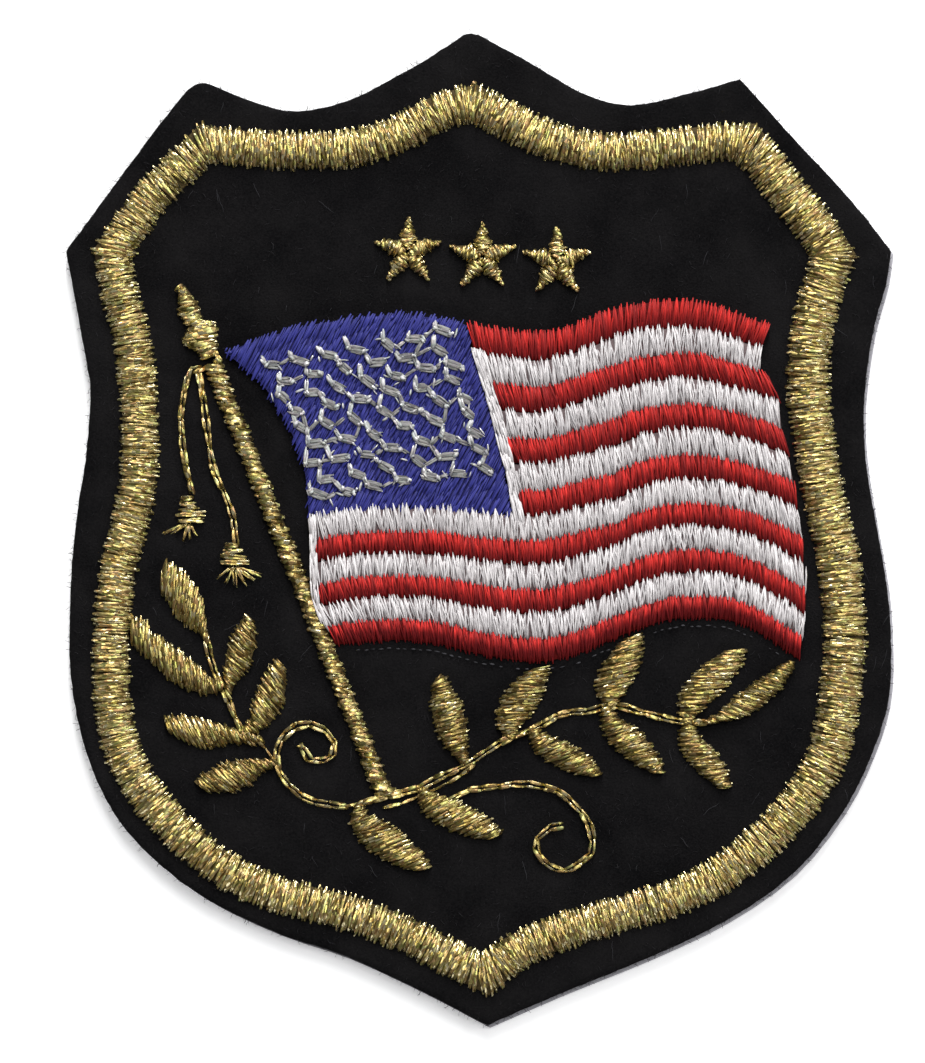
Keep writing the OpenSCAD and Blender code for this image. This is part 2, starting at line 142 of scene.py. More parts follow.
def buildStrandTree():
    tree, given, result = newTree("sewnStrands", "GeometryNodeTree", {
        "Stitches": ("Geometry", None), **strandInputs}, {"Mesh": "Geometry"})
    ownDraw = randomFloat(tree, 0.0, 1.0, given["Seed"])
    marked = store(tree, given["Stitches"], "strand", ownDraw, "CURVE")
    line = first(tree, "GeometryNodeResampleCurve", {
        "Curve": marked, "Count": given["Points"]}, mode="COUNT")
    strand = attribute(tree, "strand")
    along = place(tree, "GeometryNodeSplineParameter").outputs
    t = along["Factor"]
    arch = product(tree, t, calc(tree, "SUBTRACT", 1.0, t), 4.0)
    hump = calc(tree, "MAXIMUM", arch, 0.0)

    # the strand rises in a dome and drifts a little off its straight line
    dome = calc(tree, "POWER", hump, given["Dome"])
    spread = calc(tree, "MULTIPLY_ADD", calc(tree, "SUBTRACT", strand, 0.5), given["Height Spread"], 1.0)
    up = first(tree, "ShaderNodeCombineXYZ", {2: product(tree, attribute(tree, "rise"), dome, spread)})
    here = scaled(tree, first(tree, "GeometryNodeInputPosition"), threadLook["wobbleScale"])
    own = first(tree, "ShaderNodeCombineXYZ", {2: calc(tree, "MULTIPLY", strand, threadLook["placeDraw"])})
    drift = place(tree, "ShaderNodeTexNoise", {
        "Vector": arrow(tree, "ADD", here, own), "Scale": 1.0, "Detail": 1.0}).outputs["Color"]
    push = scaled(tree, arrow(tree, "SUBTRACT", drift, (0.5, 0.5, 0.5)),
                  calc(tree, "MULTIPLY", given["Wobble"], arch))
    raised = first(tree, "GeometryNodeSetPosition", {
        "Geometry": line, "Offset": arrow(tree, "ADD", up, push)})

    # it narrows to its ends, and its flat side leans over
    narrow = calc(tree, "MULTIPLY_ADD", calc(tree, "POWER", hump, threadLook["taper"]),
                  calc(tree, "SUBTRACT", 1.0, given["End Width"]), given["End Width"])
    worn = calc(tree, "MULTIPLY_ADD", drawn(tree, strand, threadLook["widthDraw"]),
                threadLook["widthSpread"], 0.5 * (1 - threadLook["widthSpread"]))
    facingUp = first(tree, "GeometryNodeSetCurveNormal", {"Curve": raised}, mode="Z_UP")
    sized = first(tree, "GeometryNodeSetCurveRadius", {
        "Curve": facingUp, "Radius": product(tree, given["Width"], attribute(tree, "size"), narrow, worn)})
    lean = calc(tree, "MULTIPLY", calc(
        tree, "SUBTRACT", drawn(tree, strand, threadLook["leanDraw"]), 0.5), given["Tilt Spread"])
    turned = first(tree, "GeometryNodeSetCurveTilt", {"Curve": sized, "Tilt": lean})

    # the materials read how far along the thread a point is, and which way the thread's flat side faces
    measured = store(tree, store(tree, turned, "along", along["Length"]), "arch", arch)
    tangent = first(tree, "GeometryNodeInputTangent")
    across = arrow(tree, "NORMALIZE", arrow(tree, "CROSS_PRODUCT", tangent, (0.0, 0.0, 1.0)))
    above = arrow(tree, "CROSS_PRODUCT", across, tangent)
    lay = arrow(tree, "ADD", scaled(tree, above, calc(tree, "COSINE", lean)),
                scaled(tree, across, calc(tree, "SINE", lean)))
    measured = store(tree, measured, "lay", lay, kind="FLOAT_VECTOR")

    ring = first(tree, "GeometryNodeCurvePrimitiveCircle", {"Resolution": given["Sides"], "Radius": 1.0})
    flat = first(tree, "ShaderNodeCombineXYZ", {0: given["Flatness"], 1: 1.0, 2: 1.0})
    section = first(tree, "GeometryNodeTransform", {
        "Geometry": ring, "Scale": flat, "Rotation": (0.0, 0.0, math.pi / 2)})
    section = store(tree, section, "around", t)
    swept = first(tree, "GeometryNodeCurveToMesh", {
        "Curve": measured, "Profile Curve": section,
        "Scale": first(tree, "GeometryNodeInputRadius"), "Fill Caps": True})
    smooth = first(tree, "GeometryNodeSetShadeSmooth", {"Geometry": swept, "Shade Smooth": True})
    dressed = first(tree, "GeometryNodeSetMaterial", {"Geometry": smooth, "Material": given["Thread"]})
    tree.links.new(dressed, result["Mesh"])
    return tree


strandTree = buildStrandTree()


def strandsOn(tree, given, stitches):
    values = {name: given[name] for name in strandInputs}
    return first(tree, "GeometryNodeGroup", {"Stitches": stitches, **values}, node_tree=strandTree)


def guidesIn(tree, shape):
    # a mesh's guide lines, as curves, and the padding beside them
    isGuide = calc(tree, "GREATER_THAN", attribute(tree, "guide"), 0.5)
    lines = first(tree, "GeometryNodeMeshToCurve", {"Mesh": shape, "Selection": isGuide})
    parts = place(tree, "GeometryNodeSeparateGeometry", {
        "Geometry": shape, "Selection": isGuide}, domain="POINT").outputs
    return lines, parts["Inverted"]


def stray(tree, given, amount, seedStep=0.0):
    # a random share of a named input, either way
    draw = randomFloat(tree, -1.0, 1.0, calc(tree, "ADD", given["Seed"], seedStep))
    return calc(tree, "MULTIPLY", draw, given[amount])


def sewThrough(tree, given, result, padding, holes):
    # each edge between two holes is cut loose and becomes one stitch over the padding
    chain = first(tree, "GeometryNodeCurveToMesh", {"Curve": holes})
    loose = first(tree, "GeometryNodeSplitEdges", {"Mesh": chain})
    stitches = first(tree, "GeometryNodeMeshToCurve", {"Mesh": loose})
    joined = place(tree, "GeometryNodeJoinGeometry")
    tree.links.new(padding, joined.inputs[0])
    tree.links.new(strandsOn(tree, given, stitches), joined.inputs[0])
    real = first(tree, "GeometryNodeRealizeInstances", {"Geometry": joined.outputs[0]})
    tree.links.new(real, result["Geometry"])


def buildSatinTree():
    # the guide line's holes go to its two sides in turn
    tree, given, result = newTree("satinColumn", "GeometryNodeTree", {
        "Geometry": ("Geometry", None), "Pitch": ("Float", 0.45 * mm), "Fray": ("Float", 0.2 * mm),
        "Slip": ("Float", 0.06 * mm), **strandInputs,
    }, {"Geometry": "Geometry"})
    line, padding = guidesIn(tree, given["Geometry"])
    points = first(tree, "GeometryNodeResampleCurve", {
        "Curve": line, "Length": calc(tree, "MULTIPLY", given["Pitch"], 0.5)}, mode="LENGTH")
    odd = calc(tree, "MODULO", first(tree, "GeometryNodeInputIndex"), 2.0)
    sign = calc(tree, "MULTIPLY_ADD", odd, -2.0, 1.0)
    side = attribute(tree, "side", "FLOAT_VECTOR")
    fray = scaled(tree, arrow(tree, "NORMALIZE", side), stray(tree, given, "Fray"))
    out = scaled(tree, arrow(tree, "ADD", side, fray), sign)
    slip = scaled(tree, first(tree, "GeometryNodeInputTangent"), stray(tree, given, "Slip", 7.0))
    holes = first(tree, "GeometryNodeSetPosition", {
        "Geometry": points, "Offset": arrow(tree, "ADD", out, slip)})
    sewThrough(tree, given, result, padding, holes)
    return tree


def buildRowTree():
    # each guide line becomes a row of running stitches, whose inner holes are staggered from row to row
    tree, given, result = newTree("stitchRows", "GeometryNodeTree", {
        "Geometry": ("Geometry", None), "Stitch": ("Float", 2.6 * mm), "Stagger": ("Float", 1.0),
        "Slip": ("Float", 0.1 * mm), "Sway": ("Float", 0.03 * mm), **strandInputs,
    }, {"Geometry": "Geometry"})
    line, padding = guidesIn(tree, given["Geometry"])
    row = store(tree, line, "row", randomFloat(tree, 0.0, 1.0, given["Seed"]), "CURVE")
    points = first(tree, "GeometryNodeResampleCurve", {
        "Curve": row, "Length": given["Stitch"]}, mode="LENGTH")
    t = place(tree, "GeometryNodeSplineParameter").outputs["Factor"]
    isInner = calc(tree, "LESS_THAN", calc(tree, "ABSOLUTE", calc(tree, "SUBTRACT", t, 0.5)), 0.49)
    shift = calc(tree, "SUBTRACT", attribute(tree, "row"), 0.5)
    stagger = product(tree, shift, given["Stagger"], given["Stitch"], isInner)
    slip = calc(tree, "ADD", stray(tree, given, "Slip", 3.0), stagger)
    tangent = first(tree, "GeometryNodeInputTangent")
    across = arrow(tree, "CROSS_PRODUCT", tangent, (0.0, 0.0, 1.0))
    offset = arrow(tree, "ADD", scaled(tree, tangent, slip),
                   scaled(tree, across, stray(tree, given, "Sway", 5.0)))
    holes = first(tree, "GeometryNodeSetPosition", {"Geometry": points, "Offset": offset})
    sewThrough(tree, given, result, padding, holes)
    return tree


def buildLooseTree():
    # every guide edge is one stitch
    tree, given, result = newTree("looseStitches", "GeometryNodeTree", {
        "Geometry": ("Geometry", None), **strandInputs}, {"Geometry": "Geometry"})
    lines = first(tree, "GeometryNodeMeshToCurve", {"Mesh": given["Geometry"]})
    real = first(tree, "GeometryNodeRealizeInstances", {"Geometry": strandsOn(tree, given, lines)})
    tree.links.new(real, result["Geometry"])
    return tree


fibreForm = {
    "handles": ((0, 0, 0.4), (0.25, 0, 0.8)), "tip": (0.7, 0, 1.0),  # of a bent fibre one unit long
    "sizes": (0.4, 1.3), "turn": 3.14,
    "steep": 0.8,  # faces whose normals point up less than this belong to the cut edge
}


def buildNapTree():
    # short bent fibres that stand on the faces of the cloth
    tree, given, result = newTree("feltFibres", "GeometryNodeTree", {
        "Geometry": ("Geometry", None), "Top Density": ("Float", 1.0), "Edge Density": ("Float", 1.0),
        "Length": ("Float", 0.3 * mm), "Thickness": ("Float", 0.02 * mm), "Lean": ("Float", 1.0),
        "Seed": ("Int", 1), "Fibre": ("Material", None),
    }, {"Geometry": "Geometry"})
    facing = place(tree, "ShaderNodeSeparateXYZ", {0: first(tree, "GeometryNodeInputNormal")}).outputs[2]
    isTop = calc(tree, "GREATER_THAN", facing, fibreForm["steep"])
    isEdge = calc(tree, "LESS_THAN", calc(tree, "ABSOLUTE", facing), fibreForm["steep"])
    density = calc(tree, "ADD", calc(tree, "MULTIPLY", isTop, given["Top Density"]),
                   calc(tree, "MULTIPLY", isEdge, given["Edge Density"]))
    roots = place(tree, "GeometryNodeDistributePointsOnFaces", {
        "Mesh": given["Geometry"], "Density": density, "Seed": given["Seed"]}).outputs
    bow = first(tree, "GeometryNodeCurvePrimitiveBezierSegment", {
        "Resolution": 2, "Start": (0, 0, 0), "Start Handle": fibreForm["handles"][0],
        "End Handle": fibreForm["handles"][1], "End": fibreForm["tip"]})
    ring = first(tree, "GeometryNodeCurvePrimitiveCircle", {
        "Resolution": 3, "Radius": calc(tree, "DIVIDE", given["Thickness"], given["Length"])})
    hair = first(tree, "GeometryNodeCurveToMesh", {"Curve": bow, "Profile Curve": ring})
    turn = fibreForm["turn"]
    lean = first(tree, "FunctionNodeRandomValue", {
        "Min": (-1, -1, -turn), "Max": (1, 1, turn), "Seed": given["Seed"]}, data_type="FLOAT_VECTOR")
    leaning = arrow(tree, "MULTIPLY", lean, first(tree, "ShaderNodeCombineXYZ", {
        0: given["Lean"], 1: given["Lean"], 2: 1.0}))
    standing = first(tree, "FunctionNodeRotateRotation", {
        "Rotation": roots["Rotation"],
        "Rotate By": first(tree, "FunctionNodeEulerToRotation", {"Euler": leaning})}, rotation_space="LOCAL")
    size = calc(tree, "MULTIPLY", given["Length"], randomFloat(tree, *fibreForm["sizes"], given["Seed"]))
    grown = first(tree, "GeometryNodeInstanceOnPoints", {
        "Points": roots["Points"], "Instance": hair, "Rotation": standing, "Scale": size})
    real = first(tree, "GeometryNodeRealizeInstances", {"Geometry": grown})
    dressed = first(tree, "GeometryNodeSetMaterial", {"Geometry": real, "Material": given["Fibre"]})
    tree.links.new(dressed, result["Geometry"])
    return tree


satinTree = buildSatinTree()
rowTree = buildRowTree()
looseTree = buildLooseTree()
napTree = buildNapTree()


def grow(obj, tree, values):
    modifier = obj.modifiers.new(tree.name, "NODES")
    modifier.node_group = tree
    names = {s.name: s.identifier for s in tree.interface.items_tree if s.in_out == "INPUT"}
    for name, value in values.items():
        modifier[names[name]] = value


def settle(obj):
    # the evaluated result becomes the piece's plain mesh
    depsgraph = bpy.context.evaluated_depsgraph_get()
    made = bpy.data.meshes.new_from_object(obj.evaluated_get(depsgraph), depsgraph=depsgraph)
    obj.modifiers.clear()
    obj.data = made
    for name in ("guide", "side", "rise", "size", "row"):
        if name in made.attributes:
            made.attributes.remove(made.attributes[name])


# Outlines of the CAD nodes

tolerance = {"weld": 0.002 * mm, "flat": 0.01 * mm}


def welded(node):
    # a node's mesh with its loose triangles joined at their corners
    bm = bmesh.new()
    bm.from_mesh(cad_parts[node].data)
    bmesh.ops.remove_doubles(bm, verts=bm.verts, dist=tolerance["weld"])
    return bm


def outlines(node, height=feltTop):
    # closed loops round the node's faces that lie flat at a height, as arrays of x and y
    bm = welded(node)
    flat = [f for f in bm.faces if all(abs(v.co.z - height) < tolerance["flat"] for v in f.verts)]
    inside = set(flat)
    following = {}
    for face in flat:
        for loop in face.loops:
            if sum(f in inside for f in loop.edge.link_faces) == 1:
                following[loop.vert.index] = loop.link_loop_next.vert.index
    places = {v.index: v.co.xy[:] for v in bm.verts}
    bm.free()
    loops = []
    while following:
        start, here = next(iter(following.items()))
        del following[start]
        chain = [start]
        while here != start:
            chain.append(here)
            here = following.pop(here)
        loops.append(np.array([places[i] for i in chain]))
    return sorted(loops, key=len, reverse=True)


def bandRails(node):
    # the two long sides of a band, matched point by point and running from left to right
    loop = outlines(node)[0]
    half = len(loop) // 2

    def split(start):
        turned = np.roll(loop, -start, axis=0)
        return turned[:half], turned[half:2 * half][::-1]

    def apart(start):
        one, other = split(start)
        return np.linalg.norm(one - other, axis=1).sum()

    one, other = split(min(range(half), key=apart))
    if one[0][0] > one[-1][0]:
        one, other = one[::-1], other[::-1]
    return (one, other) if one[:, 1].mean() > other[:, 1].mean() else (other, one)


def ringRails(node):
    # the outer and inner edge of a closed band, matched point by point
    one, other = outlines(node)[:2]
    if np.ptp(one[:, 0]) < np.ptp(other[:, 0]):
        one, other = other, one

    def apart(candidate):
        return np.linalg.norm(one - candidate, axis=1).sum()

    turns = [np.roll(way, -k, axis=0) for way in (other, other[::-1]) for k in range(len(other))]
    return one, min(turns, key=apart)


def wayAt(angle):
    return np.array([math.cos(angle), math.sin(angle)])


def slicedRails(loop, angle, spacing):
    # where lines at an angle cross an outline, from one end of it to the other
    way = wayAt(angle)
    normal = np.array([way[1], -way[0]])
    depth, reach = loop @ normal, loop @ way
    nextDepth, nextReach = np.roll(depth, -1), np.roll(reach, -1)
    count = max(4, round(np.ptp(depth) / spacing))
    one, other = [], []
    for cut in np.linspace(depth.min(), depth.max(), count + 2)[1:-1]:
        crossed = (depth - cut) * (nextDepth - cut) < 0
        share = (cut - depth[crossed]) / (nextDepth - depth)[crossed]
        hits = reach[crossed] + share * (nextReach - reach)[crossed]
        one.append(normal * cut + way * hits.max())
        other.append(normal * cut + way * hits.min())
    return np.array(one), np.array(other)


def resampled(line, step, closed=True):
    points = np.vstack([line, line[:1]]) if closed else line
    run = np.concatenate([[0.0], np.cumsum(np.linalg.norm(np.diff(points, axis=0), axis=1))])
    at = np.linspace(0, run[-1], max(8, round(run[-1] / step)), endpoint=not closed)
    return np.column_stack([np.interp(at, run, points[:, k]) for k in range(2)])


def unit(arrows):
    return arrows / np.linalg.norm(arrows, axis=1)[:, None]


def narrowed(one, other, near, far):
    # two rails moved towards each other
    way = unit(other - one)
    return one + way * np.reshape(near, (-1, 1)), other - way * np.reshape(far, (-1, 1))


def crownOf(node):
    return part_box(node)[1].z - feltTop


def constant(value, count):
    return [value] * count


# Meshes that the trees read: a low padding under the stitches, and guide lines for the needle

paddingLook = {
    "height": 0.74, "sink": 0.12,  # as shares of the stitches' rise
    "shares": [0.07, 0.2, 0.36, 0.5, 0.64, 0.8, 0.93],  # of the way across, where it has points
    "foot": 0.05,  # how far in from the rails its lower corners lie, as a share of the way across
    "depth": 0.12 * mm,  # of those corners, under the felt's top
    "liftShare": 0.85,  # how much of the lift of the holes it takes on
}


def facedOut(mesh):
    bm = bmesh.new()
    bm.from_mesh(mesh)
    bmesh.ops.recalc_face_normals(bm, faces=bm.faces)
    bm.to_mesh(mesh)
    bm.free()


def guideMesh(name, material, verts, edges, faces, values):
    # values holds guide, size, rise and side for each vertex
    mesh = bpy.data.meshes.new(name)
    mesh.from_pydata(verts, edges, faces)
    for key in ("guide", "size", "rise"):
        mesh.attributes.new(key, "FLOAT", "POINT").data.foreach_set("value", [v[key] for v in values])
    mesh.attributes.new("side", "FLOAT_VECTOR", "POINT").data.foreach_set(
        "vector", np.ravel([v["side"] for v in values]))
    mesh.materials.append(material)
    if faces:
        facedOut(mesh)
    return mesh


def hole(rise=0.0, side=(0.0, 0.0, 0.0), size=1.0, guide=1.0):
    return {"guide": guide, "size": size, "rise": rise, "side": side}


noStitch = hole(guide=0.0)


def addPadding(shape, column, lifts, dome, height, closed):
    # a low domed ridge between a column's rails
    one, other, rises = column[:3]
    verts, faces, foot = shape["verts"], shape["faces"], paddingLook["foot"]
    base, n, m = len(verts), len(one), len(paddingLook["shares"]) + 2
    for a, b, rise, (near, far) in zip(one, other, rises, lifts):
        verts.append((*(a + (b - a) * foot), feltTop - paddingLook["depth"]))
        for share in paddingLook["shares"]:
            bulge = (4 * share * (1 - share)) ** dome
            lift = paddingLook["liftShare"] * (near + (far - near) * share)
            top = feltTop + lift + (height * bulge - paddingLook["sink"]) * rise
            verts.append((*(a + (b - a) * share), top))
        verts.append((*(a + (b - a) * (1 - foot)), feltTop - paddingLook["depth"]))
    for i in range(n if closed else n - 1):
        for j in range(m):
            ring, ahead, k = base + i * m, base + (i + 1) % n * m, (j + 1) % m
            faces.append((ring + j, ring + k, ahead + k, ahead + j))
    if not closed:
        faces.append(tuple(base + j for j in reversed(range(m))))
        faces.append(tuple(base + (n - 1) * m + j for j in range(m)))
    shape["values"] += [noStitch] * (n * m)


def addGuide(shape, column, lifts, height, skip, closed):
    # a line of holes, which start a part of a step later than the line's below
    one, other, rises = column[:3]
    base, n = len(shape["verts"]), len(one)
    middles = np.column_stack([(one + other) / 2, feltTop + lifts.mean(axis=1)])
    sides = np.column_stack([(one - other) / 2, (lifts[:, 0] - lifts[:, 1]) / 2])
    for i in range(n):
        k = (i + 1) % n
        share = skip if closed or i == 0 else 0.0
        shape["verts"].append(tuple(middles[i] + (middles[k] - middles[i]) * share))
        side = sides[i] + (sides[k] - sides[i]) * share
        shape["values"].append(hole(rises[i] * height, tuple(side)))
    shape["edges"] += [(base + i, base + i + 1) for i in range(n - 1)]
    if closed:
        shape["edges"].append((base + n - 1, base))


def columnMesh(name, columns, material, dome=0.5, closed=False, padding=paddingLook["height"],
               layers=((1.0, 0.0),)):
    # A column is (one rail, other rail, rise at each point, lift of the holes at each point or on each rail
    # there). A layer is (its share of the rise, how late its holes start).
    shape = {"verts": [], "edges": [], "faces": [], "values": []}
    for column in columns:
        n = len(column[0])
        lifts = np.broadcast_to(np.reshape(column[3], (n, -1)), (n, 2))
        if padding:
            addPadding(shape, column, lifts, dome, padding, closed)
        for height, skip in layers:
            addGuide(shape, column, lifts, height, skip, closed)
    return guideMesh(name, material, **shape)


def looseStrand(strands, a, b, height, rise, size=1.0):
    strands.append(((*a, height), (*b, height), hole(rise, size=size)))


def looseMesh(name, strands, material):
    verts = [v for a, b, value in strands for v in (a, b)]
    values = [value for a, b, value in strands for repeat in range(2)]
    return guideMesh(name, material, verts, [(2 * i, 2 * i + 1) for i in range(len(strands))], [], values)


pieces = []


def addPiece(name, mesh, slot, *nodes):
    obj = bpy.data.objects.new(name, mesh)
    bpy.context.scene.collection.objects.link(obj)
    pieces.append((obj, slot, nodes))
    return obj


def sew(name, mesh, tree, look, slot, *nodes):
    grow(addPiece(name, mesh, slot, *nodes), tree, look)


def sewNode(node, slot, columns, tree, look, material, **shape):
    # columns of stitches in a node's place
    name = f"{node}_stitches"
    sew(name, columnMesh(name, columns, material, look["Dome"], **shape), tree, look, slot, node)


# Materials

def attributeNode(tree, name, output="Fac"):
    return place(tree, "ShaderNodeAttribute", attribute_name=name).outputs[output]


def mix(tree, factor, a, b, blend="MIX"):
    mixed = place(tree, "ShaderNodeMix", {
        "Factor": factor, "A": a, "B": b}, data_type="RGBA", blend_type=blend)
    return socketNamed(mixed.outputs, "Result")


def ramp(tree, value, low, high, toLow=0.0, toHigh=1.0):
    return first(tree, "ShaderNodeMapRange", {0: value, 1: low, 2: high, 3: toLow, 4: toHigh})


def buildLayGroup():
    # evens out the round of a strand: its normal leans towards the strand's own way up
    tree, given, result = newTree("evenedRound", "ShaderNodeTree", {
        "Surface": ("Vector", None), "Lay": ("Vector", None), "Share": ("Float", 0.5),
    }, {"Normal": "Vector"})
    lay = first(tree, "ShaderNodeVectorTransform", {0: given["Lay"]},
                vector_type="NORMAL", convert_from="OBJECT", convert_to="WORLD")
    surface = scaled(tree, given["Surface"], calc(tree, "SUBTRACT", 1.0, given["Share"]))
    both = arrow(tree, "ADD", surface, scaled(tree, lay, given["Share"]))
    tree.links.new(arrow(tree, "NORMALIZE", both), result["Normal"])
    return tree


facetCells = {
    "around": 1.6, "strand": 700.0,  # cells round a thread, and how far apart two threads' patterns are
    # at the ends more facets are polished, and so they also take the painted highlight of the glint colour
    "endArch": 0.6, "tint": 2.0,  # where the ends' own polish begins, and how strong the facets' tints are
}
fibreCells = {
    "along": 900.0, "around": 9.0, "twist": 2500.0, "strand": 300.0,
    "dyeDraw": 53.0,  # draws a thread's depth of dye from its own random value
    "shade": (0.6, 0.3),  # noise values between which the shade beside the fibres deepens
}
clothGrain = {
    "clouds": 30,  # how many times as large as the grain its clouds are
    "tones": (0.35, 0.65),  # noise values of the light and the deep tone
}


def buildFacetGroup():
    # small facets along a foil-wrapped thread: each tips the normal its own way, and a few are polished
    tree, given, result = newTree("foilFacets", "ShaderNodeTree", {
        "Along": ("Float", 0.0), "Around": ("Float", 0.0), "Strand": ("Float", 0.0),
        "Surface": ("Vector", None), "Arch": ("Float", 1.0), "Length": ("Float", 0.25 * mm),
        "Tip": ("Float", 0.5), "Polished Share": ("Float", 0.2), "Polished Ends": ("Float", 0.3),
    }, {"Normal": "Vector", "Random": "Float", "Polish": "Float", "Tint": "Color"})
    where = first(tree, "ShaderNodeCombineXYZ", {
        0: calc(tree, "DIVIDE", given["Along"], given["Length"]),
        1: calc(tree, "MULTIPLY", given["Around"], facetCells["around"]),
        2: calc(tree, "MULTIPLY", given["Strand"], facetCells["strand"])})
    cell = place(tree, "ShaderNodeTexVoronoi", {"Vector": where, "Scale": 1.0}).outputs["Color"]
    push = scaled(tree, arrow(tree, "SUBTRACT", cell, (0.5, 0.5, 0.5)), given["Tip"])
    apart = place(tree, "ShaderNodeSeparateColor", {0: cell}).outputs
    tree.links.new(arrow(tree, "NORMALIZE", arrow(tree, "ADD", given["Surface"], push)), result["Normal"])
    tree.links.new(apart[0], result["Random"])
    atEnds = ramp(tree, given["Arch"], facetCells["endArch"], 0.0)
    share = calc(tree, "MULTIPLY_ADD", atEnds, given["Polished Ends"], given["Polished Share"])
    tree.links.new(calc(tree, "LESS_THAN", apart[1], share), result["Polish"])
    tree.links.new(scaled(tree, cell, facetCells["tint"]), result["Tint"])
    return tree


def buildToneGroup():
    # colour of a thread: each strand has its own depth of dye, and fine fibres run along it
    tree, given, result = newTree("threadTone", "ShaderNodeTree", {
        "Strand": ("Float", 0.0), "Along": ("Float", 0.0), "Around": ("Float", 0.0),
        "Random": ("Float", 0.0), "Light": ("Color", (1, 1, 1, 1)), "Deep": ("Color", (0.5, 0.5, 0.5, 1)),
        "Fibres": ("Float", 0.3),
    }, {"Color": "Color", "Height": "Float"})
    twist = calc(tree, "MULTIPLY", given["Along"], fibreCells["twist"])
    where = first(tree, "ShaderNodeCombineXYZ", {
        0: calc(tree, "MULTIPLY", given["Along"], fibreCells["along"]),
        1: calc(tree, "MULTIPLY_ADD", given["Around"], fibreCells["around"], twist),
        2: calc(tree, "MULTIPLY", given["Strand"], fibreCells["strand"])})
    fibre = place(tree, "ShaderNodeTexNoise", {"Vector": where, "Scale": 1.0, "Detail": 2.0}).outputs[0]
    dye = calc(tree, "FRACT", calc(
        tree, "MULTIPLY_ADD", given["Strand"], fibreCells["dyeDraw"], given["Random"]))
    tone = mix(tree, dye, given["Light"], given["Deep"])
    shadow = calc(tree, "MULTIPLY", ramp(tree, fibre, *fibreCells["shade"]), given["Fibres"])
    tree.links.new(mix(tree, shadow, tone, (0.0, 0.0, 0.0, 1)), result["Color"])
    tree.links.new(fibre, result["Height"])
    return tree


layGroup, facetGroup, toneGroup = buildLayGroup(), buildFacetGroup(), buildToneGroup()


def newMaterial(name, values):
    material = bpy.data.materials.new(name)
    material.use_nodes = True
    tree = material.node_tree
    tree.nodes.clear()
    shader = place(tree, "ShaderNodeBsdfPrincipled")
    place(tree, "ShaderNodeOutputMaterial", {"Surface": shader.outputs[0]})
    for key, value in values.items():
        shader.inputs[key].default_value = value
    return material, tree, shader


def evenedNormal(tree, share):
    return place(tree, "ShaderNodeGroup", {
        "Surface": place(tree, "ShaderNodeNewGeometry").outputs["Normal"],
        "Lay": attributeNode(tree, "lay", "Vector"), "Share": share}, node_tree=layGroup).outputs["Normal"]


def tonedThread(tree, look, places, **more):
    colors = {"Light": look["light"], "Deep": look["deep"], "Fibres": look["fibres"]}
    return place(tree, "ShaderNodeGroup", {**places, **more, **colors}, node_tree=toneGroup).outputs


def placesOn(tree):
    return {name: attributeNode(tree, name.lower()) for name in ("Along", "Around", "Strand")}


def foilThread(name, look):
    material, tree, shader = newMaterial(name, {"Metallic": look["metallic"]})
    places = placesOn(tree)
    facet = place(tree, "ShaderNodeGroup", {
        **places, "Arch": attributeNode(tree, "arch"), "Length": look["facet"], "Tip": look["tip"],
        "Surface": evenedNormal(tree, look["even"]), "Polished Ends": look["polishedEnds"],
        "Polished Share": look["polishedShare"]}, node_tree=facetGroup).outputs
    tone = tonedThread(tree, look, places, Random=facet["Random"])
    tinted = mix(tree, look["tint"], tone["Color"], facet["Tint"], "MULTIPLY")
    roughness = ramp(tree, facet["Polish"], 0.0, 1.0, look["rough"], look["polished"])
    # polished facets are smoother, which is real, and their base colour turns to the paler glint colour,
    # which is a painted highlight
    tree.links.new(mix(tree, facet["Polish"], tinted, look["glint"]), shader.inputs["Base Color"])
    tree.links.new(facet["Normal"], shader.inputs["Normal"])
    tree.links.new(roughness, shader.inputs["Roughness"])
    return material


def rayonThread(name, look):
    material, tree, shader = newMaterial(name, {
        "Roughness": look["rough"], "Specular IOR Level": look["gloss"]})
    tone = tonedThread(tree, look, placesOn(tree))
    bump = place(tree, "ShaderNodeBump", {
        "Height": tone["Height"], "Distance": look["depth"], "Strength": 1.0,
        "Normal": evenedNormal(tree, look["even"])})
    color = tone["Color"]
    if "paintedShade" in look:
        # painted shade: darker where a stitch's flat side faces down, away from the lamps above, as the
        # stitches slope down under the next stripe's
        slope = place(tree, "ShaderNodeSeparateXYZ", {0: attributeNode(tree, "lay", "Vector")}).outputs[1]
        color = mix(tree, ramp(tree, slope, *look["slopes"], 0.0, look["paintedShadeShare"]), color, look["paintedShade"])
    tree.links.new(color, shader.inputs["Base Color"])
    tree.links.new(bump.outputs["Normal"], shader.inputs["Normal"])
    return material


def clothLike(name, light, deep, values, scale=5000.0, depth=0.05 * mm):
    # understitching, felt and film: a soft grain in two tones, and broad clouds
    material, tree, shader = newMaterial(name, values)
    where = place(tree, "ShaderNodeTexCoord").outputs["Object"]
    grain = place(tree, "ShaderNodeTexNoise", {
        "Vector": where, "Scale": scale, "Detail": 3.0}).outputs[0]
    cloud = place(tree, "ShaderNodeTexNoise", {
        "Vector": where, "Scale": scale / clothGrain["clouds"], "Detail": 2.0}).outputs[0]
    both = calc(tree, "MULTIPLY_ADD", cloud, 0.5, calc(tree, "MULTIPLY", grain, 0.5))
    bump = place(tree, "ShaderNodeBump", {"Height": grain, "Distance": depth, "Strength": 1.0})
    tone = mix(tree, ramp(tree, both, *clothGrain["tones"]), light, deep)
    tree.links.new(tone, shader.inputs["Base Color"])
    tree.links.new(bump.outputs["Normal"], shader.inputs["Normal"])
    return material
